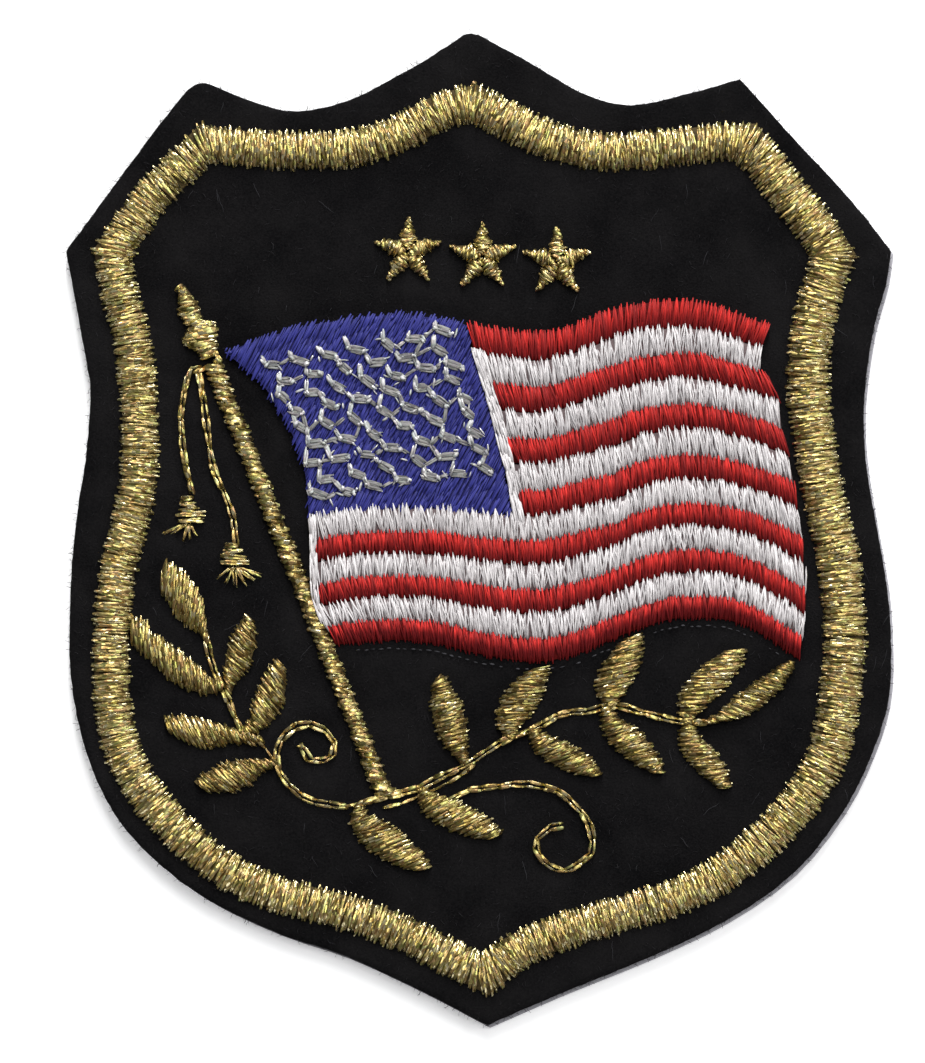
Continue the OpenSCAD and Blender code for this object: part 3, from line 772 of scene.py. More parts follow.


# glint is the paler base colour of the polished facets: a painted highlight
goldLook = {
    "light": (0.71, 0.547, 0.225, 1), "deep": (0.405, 0.30, 0.11, 1), "glint": (1.0, 0.885, 0.52, 1),
    "fibres": 0.55, "tint": 0.17, "metallic": 1.0, "rough": 0.44, "polished": 0.27, "polishedShare": 0.17,
    "polishedEnds": 0.35, "facet": 0.42 * mm, "tip": 0.9, "even": 0.55,
}
leafGoldLook = {
    **goldLook, "light": (0.53, 0.40, 0.15, 1), "deep": (0.29, 0.207, 0.072, 1),
    "tip": 0.75, "polishedShare": 0.12, "polished": 0.28, "even": 0.6,
}
# on this dull silver the glint colour whitens the strands' ends: a painted highlight
silverLook = {
    "light": (0.335, 0.325, 0.31, 1), "deep": (0.18, 0.177, 0.177, 1), "glint": (0.9, 0.89, 0.87, 1),
    "fibres": 0.2, "tint": 0.06, "metallic": 0.0, "rough": 0.65, "polished": 0.35, "polishedShare": 0.0,
    "polishedEnds": 0.3, "facet": 0.4 * mm, "tip": 0.35, "even": 0.7,
}
brightSilverLook = {
    **silverLook, "light": (0.66, 0.65, 0.64, 1), "deep": (0.32, 0.32, 0.32, 1), "metallic": 0.4,
    "polished": 0.22, "polishedShare": 0.25, "polishedEnds": 0.6, "tip": 0.7, "even": 0.35,
}
redLook = {
    "light": (0.94, 0.048, 0.040, 1), "deep": (0.34, 0.026, 0.026, 1), "fibres": 0.5,
    "rough": 0.42, "gloss": 0.16, "depth": 0.02 * mm, "even": 0.4,
    # painted shade on the stitches' downward slopes: its colour, its greatest share, and the slopes of the
    # lay between which it comes in
    "paintedShade": (0.15, 0.010, 0.013, 1), "paintedShadeShare": 0.68, "slopes": (-0.1, -0.5),
}
# the lowest stripe's copy, with deeper painted shade on its downward slopes
lowRedLook = {**redLook, "paintedShadeShare": 0.86, "slopes": (0.0, -0.42)}
whiteLook = {
    "light": (1.0, 0.955, 0.95, 1), "deep": (0.70, 0.66, 0.665, 1), "fibres": 0.5,
    "rough": 0.26, "gloss": 0.8, "depth": 0.02 * mm, "even": 0.4,
}
blueLook = {
    "light": (0.048, 0.052, 0.29, 1), "deep": (0.028, 0.031, 0.195, 1), "fibres": 0.35,
    "rough": 0.42, "gloss": 0.2, "depth": 0.02 * mm, "even": 0.5,
}
greyLook = {
    "light": (0.062, 0.061, 0.068, 1), "deep": (0.03, 0.03, 0.034, 1), "fibres": 0.4,
    "rough": 0.6, "gloss": 0.2, "depth": 0.01 * mm, "even": 0.4,
}
# light and deep colour of the padding under the stitches, and its gloss. The padding is real understitching,
# but its colours, far darker than its threads', are painted shade in the gaps between strands
understitching = {
    "gold": ((0.10, 0.07, 0.025, 1), (0.03, 0.02, 0.008, 1), 0.15),
    "red": ((0.16, 0.006, 0.006, 1), (0.08, 0.004, 0.004, 1), 0.15),
    "white": ((0.20, 0.15, 0.15, 1), (0.09, 0.065, 0.068, 1), 0.2),
    "blue": ((0.03, 0.03, 0.16, 1), (0.02, 0.02, 0.11, 1), 0.15),
}
gold = foilThread("gold_foil_thread", goldLook)
leafGold = foilThread("gold_foil_thread_smooth", leafGoldLook)
silver = foilThread("silver_thread_dull", silverLook)
brightSilver = foilThread("silver_thread_bright", brightSilverLook)
red = rayonThread("red_rayon_thread", redLook)
lowRed = rayonThread("red_rayon_thread_shaded", lowRedLook)
white = rayonThread("white_rayon_thread", whiteLook)
blue = rayonThread("blue_rayon_thread", blueLook)
grey = rayonThread("grey_tacking_thread", greyLook)
paddings = {
    color: clothLike(f"{color}_understitching", light, deep, {"Roughness": 0.7, "Specular IOR Level": gloss})
    for color, (light, deep, gloss) in understitching.items()
}
print("stage: threads and materials ready")


# Border

borderLook = {
    "crown": 0.96, "padding": 0.62, "layers": ((1.0, 0.0), (0.84, 0.5)),
    # of the outer and the inner edge, where the band lies above, below, left and right
    "insets": {
        (0, -1): (0.35 * mm, -0.12 * mm), (0, 1): (0.0, 0.34 * mm),
        (1, 0): (0.12 * mm, 0.10 * mm), (-1, 0): (-0.04 * mm, -0.12 * mm),
    },
    "stitches": {
        "Pitch": 0.34 * mm, "Fray": 0.18 * mm, "Slip": 0.19 * mm, "Points": 7, "Sides": 4,
        "Width": 0.215 * mm, "Flatness": 0.55, "Dome": 0.65, "Height Spread": 0.26, "Wobble": 0.17 * mm,
        "Tilt Spread": 1.2, "End Width": 0.65,
    },
}


def makeBorder():
    one, other = ringRails("border")
    way, insets = unit(other - one), 0.0
    for side, amounts in borderLook["insets"].items():
        insets += np.maximum(way @ side, 0.0)[:, None] ** 2 * amounts
    one, other = narrowed(one, other, *insets.T)
    n = len(one)
    rises = constant(crownOf("border") * borderLook["crown"], n)
    sewNode("border", "gold_thread", [(one, other, rises, constant(0.0, n))], satinTree,
            {**borderLook["stitches"], "Seed": 11, "Thread": gold}, paddings["gold"], closed=True,
            padding=borderLook["padding"], layers=borderLook["layers"])


makeBorder()
print("stage: border")

# Flag

stripeLook = {
    "red": {
        "Pitch": 0.25 * mm, "Fray": 0.20 * mm, "Slip": 0.15 * mm, "Points": 7, "Sides": 3,
        "Width": 0.15 * mm, "Flatness": 0.8, "Dome": 1.0, "Height Spread": 0.34, "Wobble": 0.12 * mm,
        "Tilt Spread": 1.0, "End Width": 0.5,
    },
    "white": {
        "Pitch": 0.33 * mm, "Fray": 0.36 * mm, "Slip": 0.24 * mm, "Points": 7, "Sides": 3,
        "Width": 0.14 * mm, "Flatness": 0.8, "Dome": 0.6, "Height Spread": 0.5, "Wobble": 0.15 * mm,
        "Tilt Spread": 2.0, "End Width": 0.25,
    },
    "counts": {"red": 7, "white": 6}, "crown": {"red": 0.93, "white": 0.94},
    "lean": 0.45,  # share of the bands' own slant that the stitches keep
    "uprightEnds": 5,  # steps from each end over which they come to keep it all
    "lifts": {"red": (0.68 * mm, -0.03 * mm), "white": (0.3 * mm, 0.26 * mm)},  # of the two rows of holes
    "insets": {"red": (0.01 * mm, -0.30 * mm), "white": (0.08 * mm, -0.32 * mm)},
    "ownInsets": {"red_stripe_1": (-0.16 * mm, -0.30 * mm), "red_stripe_7": (0.01 * mm, -0.20 * mm)},
    # inset and lift where a stripe laps over the blue field, and how far beyond the field that goes on
    "overBlue": {"white_stripe_4": (-0.05 * mm, 0.5 * mm)}, "overBlueReach": 1.0 * mm,
    # share of the last step that is kept at the fly end, and of the first step that is left out
    "shortened": {"red_stripe_1": 0.55, "white_stripe_1": 0.4},
    "heldBack": {"red_stripe_2": 0.2, "red_stripe_3": 0.2, "red_stripe_4": 0.2},
    # how far the hoist edge runs out, by height, in millimetres
    "hoistHeights": (-8.9, -6.9, -5.4, -3.9, -2.3, -0.8, 0.7),
    "hoistRuns": (0.77, 0.77, 0.69, 0.45, 0.42, 0.23, 0.0),
    "layers": {"red": ((1.0, 0.0), (0.84, 0.5)), "white": ((1.0, 0.0), (0.86, 0.35), (0.72, 0.7))},
    "threads": {"red": red, "white": white, "red_stripe_7": lowRed},
}


def cantonMiddle():
    low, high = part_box("canton")
    return (low.x + high.x) / 2


def stripeRails(node):
    # a stripe's two long edges, led out to the hoist
    rails = bandRails(node)
    for rail in rails:
        start = rail[0]
        if start[0] < cantonMiddle():
            start[0] -= np.interp(start[1] / mm, stripeLook["hoistHeights"], stripeLook["hoistRuns"]) * mm
    return rails


def upright(one, other):
    # pairs the two rails anew, so that the stitches stand straighter than the band's slanted ends
    middle, slant = (one[:, 0] + other[:, 0]) / 2, (one[:, 0] - other[:, 0]) / 2 * stripeLook["lean"]
    steps = np.arange(len(one))
    ends = np.maximum(1 - np.minimum(steps, steps[::-1]) / stripeLook["uprightEnds"], 0.0)
    slant += ends * ((one[:, 0] - other[:, 0]) / 2 - slant)
    return tuple(
        np.column_stack([x, np.interp(x, rail[:, 0], rail[:, 1])])
        for x, rail in ((middle + slant, one), (middle - slant, other)))


def stripeColumn(node, color):
    one, other = upright(*stripeRails(node))
    for rail in (one, other):
        rail[-1] = rail[-2] + (rail[-1] - rail[-2]) * stripeLook["shortened"].get(node, 1.0)
        rail[0] += (rail[1] - rail[0]) * stripeLook["heldBack"].get(node, 0.0)
    high, low = stripeLook["lifts"][color]
    near, far = stripeLook["ownInsets"].get(node, stripeLook["insets"][color])
    nearBlue, highBlue = stripeLook["overBlue"].get(node, (near, high))
    below = one[:, 0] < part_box("canton")[1].x + stripeLook["overBlueReach"]
    one, other = narrowed(one, other, np.where(below, nearBlue, near), far)
    lifts = np.column_stack([np.where(below, highBlue, high), constant(low, len(one))])
    rises = crownOf(node) * stripeLook["crown"][color] - lifts.mean(axis=1)
    return one, other, rises, lifts


def makeStripes():
    for color, count in stripeLook["counts"].items():
        for i in range(1, count + 1):
            node = f"{color}_stripe_{i}"
            thread = stripeLook["threads"].get(node, stripeLook["threads"][color])
            sewNode(node, f"{color}_thread", [stripeColumn(node, color)], satinTree,
                    {**stripeLook[color], "Seed": 40 + 10 * i, "Thread": thread}, paddings[color],
                    layers=stripeLook["layers"][color])


makeStripes()

seamLook = {
    # how many rows, and where the first and the last lie beside the stripes' ends
    "fly": (9, -0.06 * mm, 0.62 * mm), "hoist": (6, 0.04 * mm, 0.5 * mm),
    "rise": 0.2 * mm, "lift": 0.5 * mm, "runOn": 1.2,  # steps below the last stripe, at the fly
    "rows": {
        "Stitch": 1.5 * mm, "Stagger": 1.0, "Slip": 0.35 * mm, "Sway": 0.07 * mm, "Points": 7, "Sides": 5,
        "Width": 0.155 * mm, "Flatness": 0.7, "Dome": 0.5, "Height Spread": 0.6, "Wobble": 0.1 * mm,
        "Tilt Spread": 1.6, "End Width": 0.6,
    },
}


def makeSeams():
    # upright white rows that cover the near ends of the stripes
    edges = {"fly": [], "hoist": []}
    for i in range(1, stripeLook["counts"]["white"] + 1):
        one, other = stripeRails(f"white_stripe_{i}")
        edges["fly" if one[0][0] > cantonMiddle() else "hoist"] += [one[0], other[0]]
    columns = []
    for key, points in edges.items():
        points = np.array(sorted(points, key=lambda p: -p[1]))
        if key == "fly":
            points = np.vstack([points, points[-1] + (points[-1] - points[-2]) * seamLook["runOn"]])
        count, low, high = seamLook[key]
        rises, lifts = constant(seamLook["rise"], len(points)), constant(seamLook["lift"], len(points))
        for shift in np.linspace(low, high, count):
            row = points + np.array([shift, 0.0])
            columns.append((row, row, rises, lifts))
    mesh = columnMesh("white_seam_stitches", columns, white, padding=0)
    look = {**seamLook["rows"], "Seed": 77, "Thread": white}
    sew("white_seam_stitches", mesh, rowTree, look, "white_thread")


makeSeams()

tackingLook = {
    "below": 0.74 * mm, "step": 0.62 * mm, "length": (0.22 * mm, 0.42 * mm), "stray": 0.07 * mm,
    "share": 0.8, "rise": 0.09 * mm, "seed": 8,
    "strands": {
        "Points": 4, "Sides": 4, "Width": 0.11 * mm, "Flatness": 0.6, "Dome": 0.5, "Height Spread": 0.4,
        "Wobble": 0.05 * mm, "Tilt Spread": 1.0, "End Width": 0.5,
    },
}


def makeTacking():
    # a broken line of thin grey stitches just below the flag
    random = np.random.default_rng(tackingLook["seed"])
    line = resampled(bandRails("red_stripe_7")[1], tackingLook["step"], closed=False)
    strands = []
    for a, b in zip(line[1:-2], line[2:-1]):
        way = (b - a) / np.linalg.norm(b - a)
        middle = (a + b) / 2 + np.array([way[1], -way[0]]) * tackingLook["below"]
        middle = middle + random.uniform(-1, 1, 2) * tackingLook["stray"]
        half = way * random.uniform(*tackingLook["length"]) / 2
        if random.random() < tackingLook["share"]:
            looseStrand(strands, middle - half, middle + half, feltTop, tackingLook["rise"])
    look = {**tackingLook["strands"], "Seed": 9, "Thread": grey}
    sew("tacking_stitches", looseMesh("tacking_stitches", strands, grey), looseTree, look, "silver_thread")


makeTacking()
print("stage: stripes")

cantonLook = {
    "angle": math.radians(62), "spacing": 0.125 * mm, "rise": 0.15 * mm,
    "runOn": 0.4 * mm,  # under the stripe below
    "paddingSize": 0.985, "paddingHeight": 0.9,  # as shares of the field's
    "rows": {
        "Stitch": 1.4 * mm, "Stagger": 1.0, "Slip": 0.35 * mm, "Sway": 0.10 * mm, "Points": 6, "Sides": 5,
        "Width": 0.165 * mm, "Flatness": 0.7, "Dome": 0.5, "Height Spread": 0.4, "Wobble": 0.09 * mm,
        "Tilt Spread": 1.0, "End Width": 0.6,
    },
}


def makeCanton():
    loop = outlines("canton")[0]
    one, other = slicedRails(loop, cantonLook["angle"], cantonLook["spacing"])
    base, runOn = crownOf("canton") - cantonLook["rise"], cantonLook["runOn"]
    rail = bandRails("white_stripe_4")[0]
    lowest = other[:, 1] < np.interp(other[:, 0], rail[:, 0], rail[:, 1]) + runOn
    lowest &= other[:, 0] > rail[0][0] + runOn
    other = other - wayAt(cantonLook["angle"]) * (lowest * runOn)[:, None]
    verts, edges, values = [], [], []
    for i, (a, b) in enumerate(zip(one, other)):
        verts += [(*a, feltTop + base), (*b, feltTop + base)]
        edges.append((2 * i, 2 * i + 1))
        values += [hole(cantonLook["rise"])] * 2
    start, n = len(verts), len(loop)
    inset = loop.mean(axis=0) + (loop - loop.mean(axis=0)) * cantonLook["paddingSize"]
    verts += [(*p, feltTop + base * cantonLook["paddingHeight"]) for p in inset]
    verts += [(*p, feltTop - paddingLook["depth"]) for p in inset]
    values += [noStitch] * 2 * n
    faces = [tuple(range(start, start + n)), tuple(reversed(range(start + n, start + 2 * n)))]
    faces += [(start + i, start + (i + 1) % n, start + n + (i + 1) % n, start + n + i) for i in range(n)]
    mesh = guideMesh("canton_stitches", paddings["blue"], verts, edges, faces, values)
    look = {**cantonLook["rows"], "Seed": 5, "Thread": blue}
    sew("canton_stitches", mesh, rowTree, look, "blue_thread", "canton")


makeCanton()

starLook = {
    # lengths and slants of the parts of a star, and their strands: how many, how far apart, and their size
    "dash": ((0.95 * mm, 1.35 * mm), (-42, 8), (6, 0.10 * mm, 0.9)),
    "tick": ((0.6 * mm, 0.9 * mm), (80, 125), (2, 0.14 * mm, 1.1)),
    "knot": ((0.26 * mm, 0.45 * mm), (30, 150), (2, 0.15 * mm, 1.1)),
    "fleck": ((0.45 * mm, 0.7 * mm), (0, 180), (1, 0.0, 0.7)),
    "link": (2, 0.12 * mm, 0.85), "foot": (2, 0.12 * mm, 0.8),
    # how often they are sewn: knots at a dash's left and right end, flecks, links along the rows, and feet
    "knotShares": (0.85, 0.55), "fleckShare": 1.0, "linkShare": 0.45, "footShare": 0.35,
    # where the next stitch's end is looked for: the slant, and how far off it the end may lie
    "tickWay": (100, 38), "linkWays": ((35, 38), (-40, 38)), "footWay": (-80, 40),
    "nearest": 0.3 * mm, "farthest": 1.5 * mm, "farthestLink": 1.7 * mm,
    # from where to where the strands go, as shares of the way there
    "tickRun": (-0.1, (0.5, 0.8)), "linkRun": (0.05, (0.6, 0.95)), "footRun": 0.95,
    "rise": 0.16 * mm,
    "knotRise": 2.0, "tickRise": 1.7, "footRise": 1.3,  # times that rise
    "shift": 0.15 * mm, "stray": 0.17 * mm, "fleckSpread": 0.5 * mm, "seed": 21,
    "strands": {
        "Points": 6, "Sides": 4, "Width": 0.22 * mm, "Flatness": 0.6, "Dome": 0.4, "Height Spread": 0.5,
        "Wobble": 0.20 * mm, "Tilt Spread": 1.2, "End Width": 0.4,
    },
}


def islandMiddles(node):
    # the middle of each loose part of a node
    bm = welded(node)
    left, middles = set(bm.verts), []
    while left:
        stack, part = [next(iter(left))], set()
        while stack:
            vert = stack.pop()
            if vert not in part:
                part.add(vert)
                stack += [e.other_vert(vert) for e in vert.link_edges]
        left -= part
        corners = np.array([v.co[:2] for v in part])
        middles.append((corners.min(axis=0) + corners.max(axis=0)) / 2)
    bm.free()
    return sorted(middles, key=lambda p: (round(p[0] / mm), p[1]))


def slanted(random, lengths, turns):
    return wayAt(math.radians(random.uniform(*turns))) * random.uniform(*lengths)


def bundle(random, strands, a, b, kind, height, rise):
    # strands side by side
    count, spacing, size = kind
    way = (b - a) / np.linalg.norm(b - a)
    for k in range(count):
        beside = np.array([-way[1], way[0]]) * spacing * (k - (count - 1) / 2)
        strays = random.uniform(-1, 1, 2) * starLook["stray"]
        looseStrand(strands, a + beside + way * strays[0], b + beside + way * strays[1], height, rise, size)


def nearestEnd(start, ends, turn, spread, farthest):
    # the step to the nearest stitch end that lies in a direction, or none
    steps = ends - start
    slants = np.degrees(np.arctan2(steps[:, 1], steps[:, 0]))
    lengths = np.where(np.abs(slants - turn) < spread, np.linalg.norm(steps, axis=1), np.inf)
    k = int(np.argmin(lengths))
    return steps[k] if starLook["nearest"] < lengths[k] < farthest else None


def sewDashes(random, dull, bright, top):
    # a dash for each star, with knots and flecks at its ends
    rise, ends = starLook["rise"], []
    for middle in islandMiddles("star_stitches"):
        middle = middle + random.uniform(-1, 1, 2) * starLook["shift"]
        way = slanted(random, *starLook["dash"][:2])
        ends.append((middle - way / 2, middle + way / 2))
        bundle(random, dull, *ends[-1], starLook["dash"][2], top, rise)
        for end, share in zip(ends[-1], starLook["knotShares"]):
            if random.random() < share:
                knot = slanted(random, *starLook["knot"][:2])
                bundle(random, bright, end - knot / 2, end + knot / 2, starLook["knot"][2], top,
                       rise * starLook["knotRise"])
            if random.random() < starLook["fleckShare"]:
                fleck = slanted(random, *starLook["fleck"][:2])
                spot = end + random.uniform(-1, 1, 2) * starLook["fleckSpread"]
                bundle(random, bright, spot - fleck / 2, spot + fleck / 2, starLook["fleck"][2], top, rise)
    return ends


def sewLinks(random, dull, bright, top, ends):
    # ticks, links and feet, which tie the dashes into a net
    (tickStart, tickEnd), (linkStart, linkEnd) = starLook["tickRun"], starLook["linkRun"]
    rise, lefts = starLook["rise"], np.array([left for left, right in ends])
    every = np.vstack([lefts, np.array([right for left, right in ends])])
    for left, right in ends:
        tick = nearestEnd(left, every, *starLook["tickWay"], starLook["farthest"])
        tick = slanted(random, *starLook["tick"][:2]) if tick is None else tick * random.uniform(*tickEnd)
        bundle(random, bright, left + tick * tickStart, left + tick, starLook["tick"][2], top,
               rise * starLook["tickRise"])
        for way in starLook["linkWays"]:
            step = nearestEnd(right, lefts, *way, starLook["farthestLink"])
            if step is not None and random.random() < starLook["linkShare"]:
                end = right + step * random.uniform(*linkEnd)
                bundle(random, dull, right + step * linkStart, end, starLook["link"], top, rise)
        foot = nearestEnd(right, every, *starLook["footWay"], starLook["farthest"])
        if foot is not None and random.random() < starLook["footShare"]:
            end = right + foot * starLook["footRun"]
            bundle(random, dull, right, end, starLook["foot"], top, rise * starLook["footRise"])


def makeStars():
    # a net of short flat stitches, dull dashes and links with bright ticks and knots between them
    random = np.random.default_rng(starLook["seed"])
    dull, bright, top = [], [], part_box("canton")[1].z
    ends = sewDashes(random, dull, bright, top)
    sewLinks(random, dull, bright, top, ends)
    for name, strands, thread, *nodes in (
            ("star_dashes", dull, silver, "star_stitches"), ("star_ticks", bright, brightSilver)):
        look = {**starLook["strands"], "Seed": 6, "Thread": thread}
        sew(name, looseMesh(name, strands, thread), looseTree, look, "silver_thread", *nodes)


makeStars()
print("stage: canton")

# Pole, finial and leaves

leafLook = {
    "Pitch": 0.38 * mm, "Fray": 0.18 * mm, "Slip": 0.17 * mm, "Points": 7, "Sides": 4,
    "Width": 0.205 * mm, "Flatness": 0.6, "Dome": 0.65, "Height Spread": 0.36, "Wobble": 0.14 * mm,
    "Tilt Spread": 1.2, "End Width": 0.6,
}
poleLook = {
    "Pitch": 0.5 * mm, "Width": 0.34 * mm, "Sides": 5, "Slip": 0.13 * mm, "Tilt Spread": 1.5, "Thread": gold,
}
columnLook = {
    "slice": 0.3 * mm, "layers": ((1.0, 0.0), (0.8, 0.5)), "crown": 0.92,
    "thinRise": 0.45,  # of the shortest stitches, as a share of the longest's
}
baseLook = {
    "width": 1.15 * mm, "end": 0.7 * mm, "farthest": 2.8 * mm, "step": 0.3 * mm,
    "inner": 0.35,  # of what the leaf widens by beyond that width: its own stitches reach at least there
    "feet": {"leaf_left_3": (-19.2, -12.3), "leaf_left_4": (-16.6, -16.1), "leaf_left_6": (-15.6, -17.8)},
    # blunt outer ends in millimetres: lines left out, then the ends of those put in their place
    "tips": {
        "leaf_left_1": (0, [(-24.33, -3.11), (-24.1, -2.34)], [(-24.44, -4.64), (-24.27, -5.26)]),
        "leaf_left_2": (
            2, [(-26.67, -8.86), (-26.28, -9.25), (-25.9, -9.55), (-25.51, -9.78)],
            [(-26.59, -6.87), (-26.21, -6.64), (-25.82, -6.79), (-25.48, -7.02)]),
    },
}
stitchAngles = {
    "flagpole": -5, "pole_finial": 8,
    "leaf_left_1": 84, "leaf_left_2": -82, "leaf_left_3": -42, "leaf_left_4": -62, "leaf_left_5": -50,
    "leaf_left_6": -42, "leaf_right_1": 20, "leaf_right_2": 4, "leaf_right_3": 14, "leaf_right_4": 3,
    "leaf_right_5": -14, "leaf_right_6": 21, "leaf_right_7": 16, "leaf_right_8": 4, "leaf_right_9": 26,
    "leaf_right_10": 20,
}
poleEnds = {
    "runOn": (3, 1.5),  # steps beyond the upper end
    # where the pole's right and left edge meet the stem, in millimetres
    "feet": [
        [(-6.68, -19.61), (-6.45, -19.91), (-6.33, -20.22)],
        [(-8.29, -19.76), (-7.94, -20.22), (-7.64, -20.45)],
    ],
}


def poleRunOn(rail, foot):
    # the pole's stitches run on until they meet the finial's, and the stem below
    if rail[0][1] < rail[-1][1]:
        rail = rail[::-1]
    step = (rail[0] - rail[3]) / 3
    above = [rail[0] + step * count for count in poleEnds["runOn"]]
    return np.vstack([*above, rail[:-1], np.array(foot) * mm])


def leafToStem(one, other, angle, stem, foot):
    # narrowing stitches that run on from the leaf's base to its stem
    middle = (one + other) / 2
    gaps = [np.linalg.norm(stem - end, axis=1) for end in (middle[0], middle[-1])]
    if gaps[0].min() < gaps[1].min():
        one, other, middle = one[::-1], other[::-1], middle[::-1]
    gap = min(gaps, key=np.min)
    if gap.min() > baseLook["farthest"]:
        return one, other
    foot = stem[np.argmin(gap)] if foot is None else np.array(foot) * mm
    way = wayAt(angle) * (1 if (one[0] - other[0])[0] > 0 else -1)
    width, base = np.linalg.norm(one - other, axis=1), baseLook["width"]
    inner = int(np.argmax(width > base + (width.max() - base) * baseLook["inner"]))
    keep = len(width) - max(1, int(np.argmax(width[::-1] > base)))
    keep = max(keep, inner + 2)
    count = max(2, round(float(np.linalg.norm(foot - middle[keep - 1])) / baseLook["step"]))
    shares = np.linspace(0, 1, count + 1)[1:, None]
    spine = middle[keep - 1] + (foot - middle[keep - 1]) * shares
    half = way * (width[keep - 1] * (1 - shares) + baseLook["end"] * shares) / 2
    return np.vstack([one[:keep], spine + half]), np.vstack([other[:keep], spine - half])


def slicedColumn(node, angle, stems):
    one, other = slicedRails(outlines(node)[0], angle, columnLook["slice"])
    if node == "flagpole":
        one, other = (poleRunOn(rail, foot) for rail, foot in zip((one, other), poleEnds["feet"]))
    elif node.startswith("leaf"):
        stem, foot = stems[node.split("_")[1]], baseLook["feet"].get(node)
        one, other = leafToStem(one, other, angle, stem, foot)
    if node in baseLook["tips"]:
        skipped, *ends = baseLook["tips"][node]
        one, other = (
            np.vstack([np.array(end) * mm, rail[skipped:]]) for end, rail in zip(ends, (one, other)))
    width, thin = np.linalg.norm(one - other, axis=1), columnLook["thinRise"]
    rises = crownOf(node) * columnLook["crown"] * (thin + (1 - thin) * (width / width.max()) ** 0.5)
    return one, other, rises, constant(0.0, len(one))


def makeSlicedColumns():
    stems = {}
    for side in ("left", "right"):
        one, other = bandRails(f"stem_{side}")
        stems[side] = resampled((one + other) / 2, baseLook["step"], closed=False)
    for k, (node, angle) in enumerate(stitchAngles.items()):
        look = {} if node.startswith("leaf") else poleLook
        sewNode(node, "gold_thread", [slicedColumn(node, math.radians(angle), stems)], satinTree,
                {**leafLook, "Thread": leafGold, **look, "Seed": 200 + k}, paddings["gold"],
                layers=columnLook["layers"])


makeSlicedColumns()

# Stars above the flag

topStarLook = {
    # the first and the last stitch, as shares of the way from the middle to a tip, and how many there are
    "along": (0.06, 0.97, 9),
    "tipRise": 0.45, "middleLift": 0.55,
    "stitches": {**leafLook, "Width": 0.23 * mm, "Pitch": 0.4 * mm, "Fray": 0.12 * mm, "Slip": 0.1 * mm},
}


def makeTopStars():
    for i in range(1, 4):
        node = f"top_star_{i}"
        corners = outlines(node)[0]
        middle, crown = corners.mean(axis=0), crownOf(node)
        corners = np.roll(corners, -int(np.argmax(np.linalg.norm(corners - middle, axis=1))), axis=0)
        columns = []
        for k in range(0, len(corners), 2):
            tip, before, after = corners[k], corners[k - 1], corners[(k + 1) % len(corners)]
            axis = (tip - middle) / np.linalg.norm(tip - middle) ** 2
            knee = float((before - middle) @ axis)
            shares = np.linspace(*topStarLook["along"])
            out = np.minimum(shares / knee, 1.0)[:, None]
            on = np.maximum((shares - knee) / (1 - knee), 0.0)[:, None]
            one, other = (middle + (waist - middle) * out + (tip - waist) * on for waist in (before, after))
            ridge = crown * (1 - (1 - topStarLook["tipRise"]) * shares)
            lifts = crown * topStarLook["middleLift"] * np.maximum(1 - shares / knee, 0.0)
            columns.append((one, other, ridge - lifts, lifts))
        sewNode(node, "gold_thread", columns, satinTree,
                {**topStarLook["stitches"], "Seed": 400 + i, "Thread": gold}, paddings["gold"],
                layers=columnLook["layers"])


makeTopStars()

# Cords, stems and scrolls

lineLook = {
    "gap": 0.15 * mm, "crown": 0.85,
    "trims": {"cord_left": 0.8 * mm, "cord_right": 0.35 * mm},  # off their upper ends
    "step": 0.25 * mm,  # between the points of the strands below
    # single strands beside the lines, in millimetres
    "extras": {
        "stem_right": [
            [(-7.25, -21.4), (-5.9, -21.0), (-4.9, -20.6), (-2.95, -19.8), (-0.3, -18.1)],
            [(-10.25, -21.3), (-9.25, -21.0), (-8.2, -20.7), (-7.25, -20.4), (-6.0, -20.0)],
        ],
        "stem_left": [[(-17.5, -15.8), (-16.6, -16.3), (-16.15, -17.05), (-15.45, -18.05)]],
        "scroll_right": [
            [(-0.3, -19.8), (-1.4, -20.15), (-2.2, -20.5), (-2.9, -21.0)],
            [(-0.4, -20.0), (-1.5, -20.35), (-2.3, -20.8)],
        ],
        "cord_left": [
            [(-22.05, 12.45), (-22.25, 11.3), (-22.6, 10.2)], [(-22.15, 12.2), (-22.4, 11.2)],
            [(-22.2, 12.25), (-21.2, 12.6)], [(-22.0, 12.0), (-21.1, 12.35)],
        ],
        "cord_right": [
            [(-21.55, 12.25), (-21.45, 11.1), (-21.2, 10.1)], [(-21.4, 12.3), (-21.3, 11.1)],
            [(-21.5, 12.1), (-20.8, 12.5)], [(-18.65, 0.1), (-18.45, -1.2)], [(-18.8, 0.1), (-18.7, -1.2)],
        ],
        "scroll_left": [
            [(-13.8, -16.35), (-13.3, -16.85)], [(-13.6, -16.3), (-13.75, -16.95)],
            [(-13.9, -16.6), (-13.35, -16.6)],
        ],
    },
    "rows": {
        "Stitch": 1.15 * mm, "Stagger": 0.0, "Slip": 0.12 * mm, "Sway": 0.08 * mm, "Points": 8, "Sides": 5,
        "Width": 0.26 * mm, "Flatness": 0.6, "Dome": 0.5, "Height Spread": 0.3, "Wobble": 0.08 * mm,
        "Tilt Spread": 1.5, "End Width": 0.6,
    },
}


